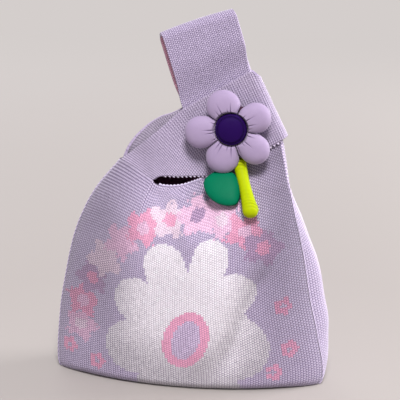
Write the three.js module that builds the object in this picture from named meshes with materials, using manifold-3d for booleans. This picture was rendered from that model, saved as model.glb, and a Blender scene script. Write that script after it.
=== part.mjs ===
// Knot-style knitted wrist bag with a stuffed satin flower pinned to its short handle.
// Millimetres, +Z up, +X to the right, the front looks along -Y, origin on the floor under the middle.
import * as THREE from "three";
import { mergeVertices } from "three/addons/utils/BufferGeometryUtils.js";
import Module from "manifold-3d";

const wasm = await Module();
wasm.setup();

// Driving dimensions
const KNIT = 3; // thickness of the double knit
const GAP = 0.3; // clearance between pieces that touch
const SEAM_PLANE = -18; // depth of the side seams on the lower body
const FLOOR_EDGE_R = 9; // rounding where the walls meet the floor

// Body outline, as height and place of the edge at that height
const LEFT_WIDEST = [[0, -114], [5, -119.5], [12, -122], [56, -119], [95, -112], [124, -104.6], [152, -92.7],
  [166, -84], [182, -70], [194, -58]];
const RIGHT_RIDGE = [[0, 115], [5, 119], [10, 120.5], [50, 114], [77, 108], [122, 100.3], [165, 90],
  [195, 82.5], [212, 79]];
const LEFT_TUCK = [[0, 0], [12, 4], [95, 5], [150, 4], [194, 0]];
const RIGHT_PUFF = [[0, 0], [12, 5], [36, 11], [64, 16], [92, 16], [111, 14], [129, 10], [156, 6],
  [182, 3], [212, 0]];
const FRONT_BULGE = [[0, 31], [50, 36], [100, 35], [140, 29], [165, 19], [180, 12], [212, 6]];
const BACK_DEPTH = [[0, 38], [50, 44], [100, 42], [140, 33], [165, 23], [180, 15], [212, 5]];
const SEAM_DEPTH = [[0, SEAM_PLANE], [140, SEAM_PLANE], [175, -13], [194, -4], [212, -2]];
const NECK_BLEND_START = 0.7; // share of the wall height where it starts to follow the neck edge
const BULGE_EASE = 0.75; // smaller makes the front wall's bulge fuller towards its sides
const BACK_WIDTH_EASE = 0.8; // smaller makes the back wall squarer
const BACK_DEPTH_EASE = 0.9;
const TUCK_EASE = 12; // higher keeps the seams' inward tuck closer to the seams

// Short handle: a band that rises to the right across the front, folds at its end and returns behind
const BAND_RISE = THREE.MathUtils.degToRad(30.5);
const BAND_WIDTH = 63;
const BAND_LOW = 144; // distance of the band's lower edge from the origin, square to the band
const BAND_CORNER = 8; // how far the rounded upper corner falls at the fold
const BAND_CORNER_START = 4; // length of the top edge that falls before the fold
const BAND_SLACK = 0.35; // room between the band and the long handle inside it
const SHOULDER_TOP = 45.5; // along the band, where the left side seam ends
const SHOULDER_LOW = 66.3; // left end of the neck slit
const TOP_SAG = [[SHOULDER_TOP, 11.3], [92, 4.6], [117, 0]]; // how far the band's top edge falls to the left
const LOW_RISE = [[SHOULDER_TOP, 32.3], [SHOULDER_LOW, 24.3], [86.6, 14.7], [107.7, 2.2], [125, 0]];
const BACK_RISE = [[SHOULDER_TOP, 0], [65.5, 9], [90, 8.5], [112, 0.5], [120, 0]]; // of the back layer only
const SLIT_DEPTH = 20; // how far the slit's left end stands in front of the band's middle plane
const SLIT_DEPTH_EASE = 0.8; // smaller opens the shoulder nearer to its top
const BAND_PUFF = 5; // how far the loop opens beside the long handle
const BAND_TRIM_FROM = 0.08; // share of the band's length where its lower trim starts

// Long handle
const HANDLE_WIDTH = 64.4;
const HANDLE_LEAN = THREE.MathUtils.degToRad(17.3);
const HANDLE_TOP = 296.4; // height of the loop's fold along its own direction
const HANDLE_SIDE = 65.6; // left edge, square to its own direction
const HANDLE_PUFF = 4.2; // how far the loop opens above the band
const HANDLE_SKEW = 0.42; // how much the loop is turned: its back layer lies further left
const HANDLE_TOP_RISE = 1.7; // how much higher the fold is at its right end
const THROAT_LEFT = 111; // left edge of the handle at the band's lower edge
const THROAT_DRIFT = 4.5; // how far it moves to the right on its way through the band
const ROOT_HEIGHT = 6;
const HINGE_RISE = 3.5; // height of the tilt axis above the band's top edge
const GRIP_CLOSED = 9; // height up to which the grip's two layers stay together
const GRIP_OPEN = 0.6; // share of the grip's length over which its layers part
const GRIP_STEPS = 6;
const GRIP_TURN_STEPS = 6;
const SEAT_DROP = 2.2; // the throat's shoulders end this far under the tilt axis
const SEAT_STEPS = 4;

// Neck opening on the body walls, as shares of the wall's width
const COLUMNS = 24;
const SLIT_FROM = 7 / COLUMNS;
const SLIT_TO = 14 / COLUMNS;
const SLIT_SAG = 6; // how far the lower lip hangs under the straight line between its ends
const SLIT_FORWARD = 4; // how far the lower lip stands further out than its left end
const SLIT_CLOSE = 0.45; // share of the slit where its lip starts to close towards the long handle
const WALL_ROWS = 12;
const TRIM_R = 1.1;
const TRIM_END = 0.7 / COLUMNS; // how far the neck trim stops short of the slit's ends
const BAND_TRIM_R = 0.9;
const BAND_ROWS = 5;
const BAND_COLUMNS = 14;
const FOLD_STEPS = 3;
const ARC_STEP = 0.29; // place of the middle point of a quarter round, as a share of its radius
const WELT_FROM = 0.08; // share of the wall height where the side seam's welt starts
const WELT_TO = 0.97;
const SEAM_ALLOWANCE = 2.5; // height of the linked seam inside, on the floor
const SEAM_END = 14; // how far that seam stops short of the corners
const FRONT = -1;
const BACK = 1;

// Flower, pinned on the band
const FLOWER_X = 38.9;
const FLOWER_Z = 224.7;
const PETALS = [
  { name: "petal_1", angle: 111, reach: 19, radius: 14.7 },
  { name: "petal_2", angle: 188.5, reach: 26.2, radius: 13.8 },
  { name: "petal_3", angle: 253, reach: 24.5, radius: 14.0 },
  { name: "petal_4", angle: 319, reach: 25.8, radius: 12.8 },
  { name: "petal_5", angle: 385.6, reach: 22.3, radius: 12.9 },
];
const PETAL_HALF_DEPTH = 8;
const WEDGE_REACH = 60; // size of the blocks that part the petals, well past their tips
const BUTTON_R = 13;
const BUTTON_SINK = 7; // how deep the button presses into the petals
const BUTTON_RIM = 4;
const BUTTON_DOME = 4;
const ROUND_STEPS = 4; // facets along a quarter round
const SHANK_R = 3;
const THREAD_R = 1;
const FELT = 1.2;
const FELT_R = 19;
const PIN_LENGTH = 30;
const PIN_WIDTH = 5;
const PIN_PLATE = 1.2;
const NEEDLE_R = 0.6;
const PIN_BLOCK = 4;
const PIN_BACKING = 0.9; // knit left behind the pin

// Stem and leaf, sewn together and hanging from the flower
const HANG_X = 47.5;
const HANG_Z = 193.5;
const STEM_TOP_R = 5;
const STEM_LOW_R = 6.6;
const STEM_END_X = 58;
const STEM_END_Z = 158;
const STEM_REST = 2.6; // how far the stem's end stands off the wall's line
const LEAF_HALF_DEPTH = 5;
const LEAF_OUTLINE = [[-15.5, 3], [-12, -6.5], [-3, -13], [8, -14.2], [13, -10], [12.5, 2], [7, 10],
  [-1, 12], [-9, 10]];
const LEAF_POINTS = 28;
const LEAF_RINGS = 8;
const LEAF_EASE = 0.7; // smaller makes the leaf's rim fuller
const LEAF_REACH = 13; // half the leaf's height
const LEAF_REST = 2;
const LEAF_X = 30.7;
const LEAF_Z = 173;

// Places worked out from the driving dimensions
const HALF_STACK = KNIT + GAP / 2; // half the thickness of the long handle's two layers
const BAND_INNER = HALF_STACK + BAND_SLACK + GAP;
const BAND_OUTER = BAND_INNER + KNIT;
const BAND_TOP = BAND_LOW + BAND_WIDTH;
const HINGE_V = BAND_TOP + HINGE_RISE;
const THROAT_WIDTH = HANDLE_WIDTH / Math.cos(BAND_RISE - HANDLE_LEAN);
const FOLD_ROOM = Math.sqrt(BAND_INNER ** 2 - HALF_STACK ** 2); // room past the fold's centre line
const BAND_END = THROAT_LEFT + THROAT_WIDTH + 3 * GAP - FOLD_ROOM; // where the lower edge starts to fold
const POCKET_FLOOR = BAND_INNER + PIN_BACKING;
const FELT_BACK = BAND_OUTER + GAP + PIN_PLATE + GAP;
const PETAL_Y = -(FELT_BACK + FELT + GAP + PETAL_HALF_DEPTH);
const BUTTON_BACK = PETAL_Y - PETAL_HALF_DEPTH + BUTTON_SINK;

const CORNER_INWARDS = new THREE.Vector3(0.75, 0.66, 0.6); // way into the bag from a lower corner

const COLOURS = {
  knit: { color: 0xb9a5cd, roughness: 0.95, metalness: 0 },
  trim: { color: 0xe6cfe0, roughness: 0.95, metalness: 0 },
  satin: { color: 0xb8a4c8, roughness: 0.55, metalness: 0 },
  button: { color: 0x32146e, roughness: 0.6, metalness: 0 },
  leaf: { color: 0x00875f, roughness: 0.6, metalness: 0 },
  stem: { color: 0xc8d714, roughness: 0.6, metalness: 0 },
  felt: { color: 0xa795bd, roughness: 0.95, metalness: 0 },
  steel: { color: 0xc8c8cc, roughness: 0.35, metalness: 1 },
};

const part = new THREE.Group();

function add(name, geometry, finish) {
  const mesh = new THREE.Mesh(geometry, new THREE.MeshStandardMaterial(COLOURS[finish]));
  mesh.name = name;
  part.add(mesh);
  return mesh;
}

// Small maths helpers

function mix(a, b, share) {
  return a + (b - a) * share;
}

function smooth(share) {
  const s = THREE.MathUtils.clamp(share, 0, 1);
  return s * s * (3 - 2 * s);
}

// Value of a station list at a place, with smooth slopes that never overshoot
function at(stations, place) {
  const last = stations.length - 1;
  if (place <= stations[0][0]) return stations[0][1];
  if (place >= stations[last][0]) return stations[last][1];
  const slopes = [];
  for (let i = 0; i < last; i++) {
    slopes.push((stations[i + 1][1] - stations[i][1]) / (stations[i + 1][0] - stations[i][0]));
  }
  const tangent = (i) => {
    if (i === 0) return slopes[0];
    if (i === last) return slopes[last - 1];
    return slopes[i - 1] * slopes[i] <= 0 ? 0 : 2 / (1 / slopes[i - 1] + 1 / slopes[i]);
  };
  let i = 0;
  while (place > stations[i + 1][0]) i += 1;
  const span = stations[i + 1][0] - stations[i][0];
  const t = (place - stations[i][0]) / span;
  const rise = stations[i + 1][1] - stations[i][1];
  const m0 = tangent(i) * span;
  const m1 = tangent(i + 1) * span;
  return stations[i][1] + t * m0 + t * t * (3 * rise - 2 * m0 - m1) + t * t * t * (m0 + m1 - 2 * rise);
}

// Point of the band's plane, from distances along and across the band
function bandPoint(along, across, y) {
  const x = along * Math.cos(BAND_RISE) - across * Math.sin(BAND_RISE);
  const z = along * Math.sin(BAND_RISE) + across * Math.cos(BAND_RISE);
  return new THREE.Vector3(x, y, z);
}

// Closed solids from grids of points

function orient(geometry) {
  const p = geometry.getAttribute("position");
  const index = geometry.getIndex().array;
  const a = new THREE.Vector3();
  const b = new THREE.Vector3();
  const c = new THREE.Vector3();
  let volume = 0;
  for (let i = 0; i < index.length; i += 3) {
    a.fromBufferAttribute(p, index[i]);
    b.fromBufferAttribute(p, index[i + 1]);
    c.fromBufferAttribute(p, index[i + 2]);
    volume += a.dot(b.cross(c));
  }
  if (volume < 0) {
    for (let i = 0; i < index.length; i += 3) {
      const keep = index[i];
      index[i] = index[i + 1];
      index[i + 1] = keep;
    }
  }
  return geometry;
}

function fromPoints(points, faces) {
  const geometry = new THREE.BufferGeometry();
  const values = points.flatMap((p) => [p.x, p.y, p.z]);
  geometry.setAttribute("position", new THREE.Float32BufferAttribute(values, 3));
  geometry.setIndex(faces.flat());
  return orient(geometry);
}

function gridNormals(grid) {
  const rows = grid.length - 1;
  const columns = grid[0].length - 1;
  return grid.map((row, j) => row.map((point, i) => {
    const across = grid[j][Math.min(i + 1, columns)].clone().sub(grid[j][Math.max(i - 1, 0)]).normalize();
    const up = grid[Math.min(j + 1, rows)][i].clone().sub(grid[Math.max(j - 1, 0)][i]).normalize();
    return across.cross(up).normalize();
  }));
}

// A sheet of even thickness between an outer grid of points and the same grid moved inwards
function sheet(outer, inner) {
  const rows = outer.length;
  const columns = outer[0].length;
  const points = [...outer.flat(), ...inner.flat()];
  const faces = [];
  const id = (side, j, i) => side * rows * columns + j * columns + i;
  for (let j = 0; j + 1 < rows; j++) {
    for (let i = 0; i + 1 < columns; i++) {
      for (const side of [0, 1]) {
        const quad = [id(side, j, i), id(side, j, i + 1), id(side, j + 1, i + 1), id(side, j + 1, i)];
        if (side) quad.reverse();
        faces.push([quad[0], quad[1], quad[2]], [quad[0], quad[2], quad[3]]);
      }
    }
  }
  const rim = [];
  for (let i = 0; i < columns - 1; i++) rim.push([0, i]);
  for (let j = 0; j < rows - 1; j++) rim.push([j, columns - 1]);
  for (let i = columns - 1; i > 0; i--) rim.push([rows - 1, i]);
  for (let j = rows - 1; j > 0; j--) rim.push([j, 0]);
  rim.forEach(([j, i], k) => {
    const [jn, im] = rim[(k + 1) % rim.length];
    faces.push([id(0, j, i), id(1, j, i), id(1, jn, im)], [id(0, j, i), id(1, jn, im), id(0, jn, im)]);
  });
  return fromPoints(points, faces);
}

// A solid between stacked closed rings of points, with flat ends
function loft(rings) {
  const count = rings[0].length;
  const points = rings.flat();
  const faces = [];
  for (let j = 0; j + 1 < rings.length; j++) {
    for (let i = 0; i < count; i++) {
      const n = (i + 1) % count;
      const [a, b, c, d] = [j * count + i, j * count + n, (j + 1) * count + n, (j + 1) * count + i];
      faces.push([a, b, c], [a, c, d]);
    }
  }
  for (const [start, flip] of [[0, true], [(rings.length - 1) * count, false]]) {
    const centre = points.length;
    points.push(rings[start / count].reduce((sum, p) => sum.add(p), new THREE.Vector3()).divideScalar(count));
    for (let i = 0; i < count; i++) {
      const edge = [start + i, start + (i + 1) % count];
      if (flip) edge.reverse();
      faces.push([edge[0], edge[1], centre]);
    }
  }
  return fromPoints(points, faces);
}

function bare(geometry) {
  const copy = geometry.clone();
  copy.deleteAttribute("normal");
  copy.deleteAttribute("uv");
  return orient(mergeVertices(copy, 1e-4));
}

function solid(geometry) {
  const g = bare(geometry);
  const vertProperties = new Float32Array(g.getAttribute("position").array);
  const triVerts = new Uint32Array(g.getIndex().array);
  return new wasm.Manifold(new wasm.Mesh({ numProp: 3, vertProperties, triVerts }));
}

function geometryOf(manifold) {
  const mesh = manifold.getMesh();
  const geometry = new THREE.BufferGeometry();
  geometry.setAttribute("position", new THREE.BufferAttribute(new Float32Array(mesh.vertProperties), 3));
  geometry.setIndex(Array.from(mesh.triVerts));
  return geometry;
}

function boxAt(x, y, z, width, depth, height) {
  return new THREE.BoxGeometry(width, depth, height).translate(x, y, z);
}

function tube(points, radius, steps) {
  const outline = new THREE.Shape();
  const sides = 8;
  for (let k = 0; k < sides; k++) {
    const turn = ((k + 0.5) / sides) * 2 * Math.PI;
    const corner = [radius * Math.cos(turn), radius * Math.sin(turn)];
    if (k) outline.lineTo(...corner);
    else outline.moveTo(...corner);
  }
  const path = new THREE.CatmullRomCurve3(points);
  return bare(new THREE.ExtrudeGeometry(outline, { steps, extrudePath: path }));
}

// Body walls

// Height across the band of the short handle's layer on one side, from its top edge (0) to its lower edge (1)
function bandAcross(along, share, side) {
  const fallLength = BAND_CORNER_START + BAND_OUTER;
  const fall = BAND_CORNER * smooth((along - BAND_END - THROAT_DRIFT + BAND_CORNER_START) / fallLength);
  const extra = side === BACK ? at(BACK_RISE, along) : 0;
  return mix(BAND_TOP - at(TOP_SAG, along) + extra - fall, BAND_LOW + at(LOW_RISE, along), share);
}

// Where the band starts to fold, between its top edge (0) and its lower edge (1)
function foldStart(share) {
  return BAND_END + THROAT_DRIFT * (1 - share);
}

function bandPlace(t, share, side) {
  const start = mix(SHOULDER_TOP, SHOULDER_LOW, share);
  const along = mix(start, foldStart(share), t);
  const settle = 1 - smooth((along - start) / (THROAT_LEFT + THROAT_DRIFT - start));
  const shoulder = mix(HALF_STACK, SLIT_DEPTH, share ** SLIT_DEPTH_EASE);
  const puff = BAND_PUFF * Math.sin(Math.PI * settle) * (1 - share / 2);
  const depth = mix(BAND_OUTER, shoulder, settle) + puff;
  return bandPoint(along, bandAcross(along, share, side), side * depth);
}

// Upper edge of a wall: left shoulder, slit lip, then the right shoulder under the band
function wallTop(s, side) {
  if (s <= SLIT_FROM) return bandPlace(0, s / SLIT_FROM, side);
  const right = THROAT_LEFT - GAP;
  const low = BAND_LOW - 2 * GAP;
  const closed = side * (HALF_STACK + GAP);
  if (s <= SLIT_TO) {
    const share = (s - SLIT_FROM) / (SLIT_TO - SLIT_FROM);
    const lip = bandPlace(0, 1, side).lerp(bandPoint(right, low, closed), share);
    const open = side * (SLIT_DEPTH + SLIT_FORWARD * Math.sin(Math.PI * share));
    lip.z -= SLIT_SAG * Math.sin(Math.PI * share);
    lip.y = mix(open, closed, smooth((share - SLIT_CLOSE) / (1 - SLIT_CLOSE)));
    return lip;
  }
  const share = (s - SLIT_TO) / (1 - SLIT_TO);
  return bandPoint(mix(right, THROAT_LEFT + HANDLE_WIDTH, share), low, closed);
}

// How strongly a wall follows the neck edge at a share of its height
function neckShare(t) {
  return smooth((t - NECK_BLEND_START) / (1 - NECK_BLEND_START));
}

// Level section of the front wall at a height, from the left seam (0) to the right ridge (1)
function frontSection(s, z) {
  const left = at(LEFT_WIDEST, z) + at(LEFT_TUCK, z);
  const x = mix(left, at(RIGHT_RIDGE, z), s);
  const bulge = at(FRONT_BULGE, z) * (4 * s * (1 - s)) ** BULGE_EASE;
  return new THREE.Vector3(x, at(SEAM_DEPTH, z) - bulge, z);
}

// Level section of the back wall, which goes round both sides from the left seam (0) to the ridge (1)
function backSection(s, z) {
  const left = at(LEFT_WIDEST, z);
  const right = at(RIGHT_RIDGE, z) + at(RIGHT_PUFF, z);
  const turn = Math.PI * (1 - s);
  const round = Math.sign(Math.cos(turn)) * Math.abs(Math.cos(turn)) ** BACK_WIDTH_EASE;
  const tuck = (s < 0.5 ? at(LEFT_TUCK, z) : -at(RIGHT_PUFF, z)) * Math.abs(2 * s - 1) ** TUCK_EASE;
  const x = (left + right) / 2 + ((right - left) / 2) * round + tuck;
  const y = mix(at(SEAM_DEPTH, z), at(BACK_DEPTH, z), Math.sin(turn) ** BACK_DEPTH_EASE);
  return new THREE.Vector3(x, y, z);
}

// A wall follows its sections, and is led over to the neck edge in its upper part
function ledToNeck(section, side, s, t) {
  const top = wallTop(s, side);
  const off = top.clone().sub(section(s, top.z)).multiplyScalar(neckShare(t));
  return section(s, top.z * t).add(off);
}

function frontPoint(s, t) {
  return ledToNeck(frontSection, FRONT, s, t);
}

function backPoint(s, t) {
  return ledToNeck(backSection, BACK, s, t);
}

// Depth of the front wall's outer face at a place in the front view, found by halving
function wallDepth(x, z) {
  const place = (s) => frontPoint(s, Math.min(z / wallTop(s, FRONT).z, 1));
  const halvings = 30;
  let low = 0;
  let high = 1;
  for (let k = 0; k < halvings; k++) {
    const middle = (low + high) / 2;
    if (place(middle).x < x) low = middle;
    else high = middle;
  }
  return place(low).y;
}

// One wall as a solid: its half of the floor, the rounded floor edge, then up to the neck
function wall(place, side) {
  const edgeShare = (s) => FLOOR_EDGE_R / wallTop(s, side).z;
  const foot = (s, share, rise) => {
    const p = place(s, edgeShare(s));
    const reach = Math.abs(p.y - SEAM_PLANE);
    p.y -= side * Math.min(FLOOR_EDGE_R, reach / 2) * share;
    p.x = mix(p.x, place(s, 0).x, share);
    p.z = rise;
    return p;
  };
  const seamLine = (s) => new THREE.Vector3(place(s, 0).x, SEAM_PLANE + (side * GAP) / 2, 0);
  const rows = [
    { at: seamLine, floor: true },
    { at: (s) => seamLine(s).lerp(foot(s, 1, 0), 0.5), floor: true },
    { at: (s) => foot(s, 1, 0), floor: true },
    { at: (s) => foot(s, ARC_STEP, FLOOR_EDGE_R * ARC_STEP), floor: false },
  ];
  for (let j = 0; j <= WALL_ROWS; j++) {
    rows.push({ at: (s) => place(s, mix(edgeShare(s), 1, j / WALL_ROWS)), neck: neckShare(j / WALL_ROWS) });
  }
  const shares = Array.from({ length: COLUMNS + 1 }, (_, i) => i / COLUMNS);
  const outer = rows.map((row) => shares.map((s) => {
    const p = row.at(s);
    if (!row.floor && (s === 0 || s === 1)) p.y += (side * GAP) / 2;
    return p;
  }));
  const normals = gridNormals(outer);
  const towardsMiddle = new THREE.Vector3(0, -side, 0);
  const inner = outer.map((row, j) => row.map((point, i) => {
    if (rows[j].floor) return point.clone().add(new THREE.Vector3(0, 0, KNIT));
    const neck = rows[j].neck ?? 0;
    if (i === 0 || i === COLUMNS) {
      const corner = CORNER_INWARDS.clone().setZ(rows[j].neck === undefined ? CORNER_INWARDS.z : 0);
      if (i) corner.x *= -1;
      return point.clone().addScaledVector(corner.lerp(towardsMiddle, neck), KNIT);
    }
    const inwards = normals[j][i].clone().multiplyScalar(side).lerp(towardsMiddle, neck);
    return point.clone().addScaledVector(inwards.normalize(), KNIT);
  }));
  return sheet(outer, inner);
}

// Linked join that stands proud of the edge where the two walls meet
function seamWelt(s) {
  const steps = 14;
  const points = [];
  for (let k = 0; k <= steps; k++) {
    const t = mix(WELT_FROM, WELT_TO, k / steps);
    const edge = frontPoint(s, t).add(backPoint(s, t)).divideScalar(2);
    const outwards = s === 0 ? -CORNER_INWARDS.x : CORNER_INWARDS.x;
    const proud = new THREE.Vector3(outwards, -CORNER_INWARDS.y * (1 - neckShare(t)), 0).normalize();
    points.push(edge.addScaledVector(proud, TRIM_R + GAP));
  }
  return tube(points, TRIM_R, steps * 2);
}

function bottomSeam() {
  const length = RIGHT_RIDGE[0][1] - LEFT_WIDEST[0][1] - 2 * SEAM_END;
  const middle = (RIGHT_RIDGE[0][1] + LEFT_WIDEST[0][1]) / 2;
  return boxAt(middle, SEAM_PLANE, KNIT + GAP + SEAM_ALLOWANCE / 2, length, KNIT, SEAM_ALLOWANCE);
}

function neckTrim(side) {
  const points = [];
  const steps = 8;
  for (let k = 0; k <= steps; k++) {
    const lip = wallTop(mix(SLIT_FROM + TRIM_END, SLIT_TO - TRIM_END, k / steps), side);
    points.push(lip.add(new THREE.Vector3(0, (-side * KNIT) / 2, TRIM_R + GAP)));
  }
  return tube(points, TRIM_R, 2 * steps);
}

// Short handle

function bandLayer(side) {
  const outer = [];
  const inner = [];
  for (let j = 0; j <= BAND_ROWS; j++) {
    const share = j / BAND_ROWS;
    const outerRow = [];
    const innerRow = [];
    for (let i = 0; i <= BAND_COLUMNS; i++) {
      const point = bandPlace(mix(GAP / (BAND_END - SHOULDER_LOW), 1, i / BAND_COLUMNS), share, side);
      outerRow.push(point);
      innerRow.push(point.clone().setY(point.y - side * KNIT));
    }
    for (let k = 1; k <= FOLD_STEPS; k++) {
      const turn = ((Math.PI / 2) * k) / FOLD_STEPS;
      const across = bandAcross(foldStart(share) + BAND_OUTER * Math.sin(turn), share, side);
      for (const [row, radius] of [[outerRow, BAND_OUTER], [innerRow, BAND_INNER]]) {
        const depth = k === FOLD_STEPS ? GAP / 2 : radius * Math.cos(turn);
        row.push(bandPoint(foldStart(share) + radius * Math.sin(turn), across, side * depth));
      }
    }
    outer.push(outerRow);
    inner.push(innerRow);
  }
  return sheet(outer, inner);
}

function bandTrim(side) {
  const points = [];
  const steps = 12;
  for (let k = 0; k <= steps; k++) {
    const point = bandPlace(mix(BAND_TRIM_FROM, 1, k / steps), 1, side);
    const down = bandPoint(0, -(BAND_TRIM_R + GAP), side * (GAP - BAND_TRIM_R));
    points.push(point.add(down));
  }
  return tube(points, BAND_TRIM_R, 2 * steps);
}

// Long handle

function throatEdge(across, share) {
  const drift = (THROAT_DRIFT * (across - BAND_LOW)) / BAND_WIDTH;
  return THROAT_LEFT + drift + THROAT_WIDTH * share;
}

// A layer of the handle inside the band, from its outline in depth and height
function throatLayer(outline) {
  const ring = (share) => outline.map(([y, across]) => bandPoint(throatEdge(across, share), across, y));
  return loft([ring(0), ring(1)]);
}

function rootOutline(side) {
  const low = BAND_LOW - GAP;
  const high = BAND_LOW + ROOT_HEIGHT;
  const [out, mid] = [side * HALF_STACK, (side * GAP) / 2];
  return [[out, low], [mid, low], [mid, high], [out, high]];
}

// The layer ends in a hollow seat round the tilt axis
function throatOutline(side) {
  const low = BAND_LOW + ROOT_HEIGHT + GAP;
  const seat = HALF_STACK + GAP;
  const points = [[side * HALF_STACK, low], [(side * GAP) / 2, low]];
  const from = Math.asin(GAP / 2 / seat);
  const to = Math.acos(SEAT_DROP / seat);
  for (let k = 0; k <= SEAT_STEPS; k++) {
    const turn = mix(from, to, k / SEAT_STEPS);
    points.push([side * seat * Math.sin(turn), HINGE_V - seat * Math.cos(turn)]);
  }
  points.push([side * HALF_STACK, HINGE_V - SEAT_DROP]);
  return points;
}

// The free loop: two layers that part above the band and turn over at the top
function grip() {
  const lean = new THREE.Vector3(-Math.sin(HANDLE_LEAN), 0, Math.cos(HANDLE_LEAN));
  const across = new THREE.Vector3(Math.cos(HANDLE_LEAN), 0, Math.sin(HANDLE_LEAN));
  const along = (share) => {
    const wanted = HANDLE_SIDE + HANDLE_WIDTH * share;
    const atZero = bandPoint(0, HINGE_V, 0).dot(across);
    return (wanted - atZero) / bandPoint(1, 0, 0).dot(across);
  };
  const ring = (share, inset) => {
    const foot = bandPoint(along(share), HINGE_V, 0);
    const height = HANDLE_TOP + HANDLE_TOP_RISE * (share - 0.5) - foot.dot(lean);
    const crown = HALF_STACK + HANDLE_PUFF;
    const shaft = height - crown;
    const half = (h) => HALF_STACK + HANDLE_PUFF * smooth(h / (GRIP_OPEN * shaft)) - inset;
    const base = inset ? GRIP_CLOSED : 0;
    const place = (y, h) => {
      const up = h < 0 ? bandPoint(0, 1, 0) : lean;
      const turned = -HANDLE_SKEW * y * smooth(h / (2 * GRIP_CLOSED));
      return foot.clone().addScaledVector(up, h).addScaledVector(across, turned).setY(y);
    };
    const points = [];
    for (let k = 0; k < GRIP_TURN_STEPS; k++) {
      const turn = (Math.PI * k) / GRIP_TURN_STEPS;
      points.push(place(-half(base) * Math.cos(turn), base - half(base) * Math.sin(turn)));
    }
    for (let k = 0; k < GRIP_STEPS; k++) {
      const h = mix(base, shaft, k / GRIP_STEPS);
      points.push(place(half(h), h));
    }
    for (let k = 0; k < GRIP_TURN_STEPS; k++) {
      const turn = (Math.PI * k) / GRIP_TURN_STEPS;
      const r = crown - inset;
      points.push(place(r * Math.cos(turn), shaft + r * Math.sin(turn)));
    }
    for (let k = GRIP_STEPS; k > 0; k--) {
      const h = mix(base, shaft, k / GRIP_STEPS);
      points.push(place(-half(h), h));
    }
    return points;
  };
  const count = 2 * GRIP_TURN_STEPS + 2 * GRIP_STEPS;
  const points = [...ring(0, 0), ...ring(1, 0), ...ring(0, KNIT), ...ring(1, KNIT)];
  const faces = [];
  const band = (a, b) => {
    for (let i = 0; i < count; i++) {
      const n = (i + 1) % count;
      const [p, q, r, s] = [a * count + i, a * count + n, b * count + n, b * count + i];
      faces.push([p, q, r], [p, r, s]);
    }
  };
  band(0, 1);
  band(1, 3);
  band(3, 2);
  band(2, 0);
  return fromPoints(points, faces);
}

// Flower

// Moves a solid made round the origin to the flower's middle
function toFlower(geometry) {
  return geometry.translate(FLOWER_X, 0, FLOWER_Z);
}

// Block that leaves one petal its share of the flower, half a gap clear of the neighbours' shares
function wedge(from, to) {
  const middle = (from + to) / 2;
  const opening = (to - from) / 2;
  const towards = (turn, reach) => new THREE.Vector2(Math.cos(turn), Math.sin(turn)).multiplyScalar(reach);
  const apex = towards(middle, GAP / 2 / Math.sin(opening));
  const corners = [apex, towards(from, WEDGE_REACH).add(apex), towards(middle, 2 * WEDGE_REACH),
    towards(to, WEDGE_REACH).add(apex)];
  const outline = new THREE.Shape(corners);
  const block = new THREE.ExtrudeGeometry(outline, { depth: WEDGE_REACH, bevelEnabled: false });
  return toFlower(block.rotateX(Math.PI / 2));
}

function petal(index) {
  const { angle, reach, radius } = PETALS[index];
  const turn = (k) => THREE.MathUtils.degToRad(PETALS[(k + PETALS.length) % PETALS.length].angle);
  const full = 2 * Math.PI;
  const own = THREE.MathUtils.degToRad(angle);
  const before = index ? turn(index - 1) : turn(-1) - full;
  const after = index < PETALS.length - 1 ? turn(index + 1) : turn(0) + full;
  const body = new THREE.SphereGeometry(1, 20, 12).scale(radius, PETAL_HALF_DEPTH, radius);
  body.translate(reach * Math.cos(own), PETAL_Y, reach * Math.sin(own));
  const seat = new THREE.CylinderGeometry(BUTTON_R + GAP, BUTTON_R + GAP, WEDGE_REACH, 32);
  seat.translate(0, BUTTON_BACK + GAP - WEDGE_REACH / 2, 0);
  const slice = solid(wedge((before + own) / 2, (own + after) / 2));
  return geometryOf(solid(toFlower(body)).intersect(slice).subtract(solid(toFlower(seat))));
}

function centreButton() {
  const back = -(FELT_BACK + FELT + GAP);
  const rim = BUTTON_BACK - BUTTON_RIM;
  const shank = [[0, back], [SHANK_R, back], [SHANK_R, BUTTON_BACK]];
  const profile = [...shank, [BUTTON_R, BUTTON_BACK], [BUTTON_R, rim]];
  for (let k = 1; k <= ROUND_STEPS; k++) {
    const turn = ((Math.PI / 2) * k) / ROUND_STEPS;
    profile.push([k === ROUND_STEPS ? 0 : BUTTON_R * Math.cos(turn), rim - BUTTON_DOME * Math.sin(turn)]);
  }
  const points = profile.map(([r, y]) => new THREE.Vector2(r, y));
  return bare(toFlower(new THREE.LatheGeometry(points, 28)));
}

function gatherThread() {
  const ring = new THREE.TorusGeometry(SHANK_R + GAP + THREAD_R, THREAD_R, 6, 20).rotateX(Math.PI / 2);
  const depth = (BUTTON_BACK - FELT_BACK - FELT) / 2;
  return bare(toFlower(ring.translate(0, depth, 0)));
}

function feltBacking() {
  const disc = new THREE.CylinderGeometry(FELT_R, FELT_R, FELT, 28);
  return bare(toFlower(disc.translate(0, -(FELT_BACK + FELT / 2), 0)));
}

// Pin that holds the flower to the band: its blocks and needle lie in a pocket among the stitches

function pinBar() {
  const plateY = -(BAND_OUTER + GAP + PIN_PLATE / 2);
  const plate = boxAt(FLOWER_X, plateY, FLOWER_Z, PIN_LENGTH, PIN_PLATE, PIN_WIDTH);
  const blockX = FLOWER_X - PIN_LENGTH / 2 + PIN_BLOCK / 2;
  const depth = BAND_OUTER + GAP - POCKET_FLOOR + PIN_PLATE / 2;
  const pivot = boxAt(blockX, -(POCKET_FLOOR + GAP / 2 + depth / 2), FLOWER_Z, PIN_BLOCK, depth, PIN_BLOCK);
  return geometryOf(solid(plate).add(solid(pivot)));
}

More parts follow.
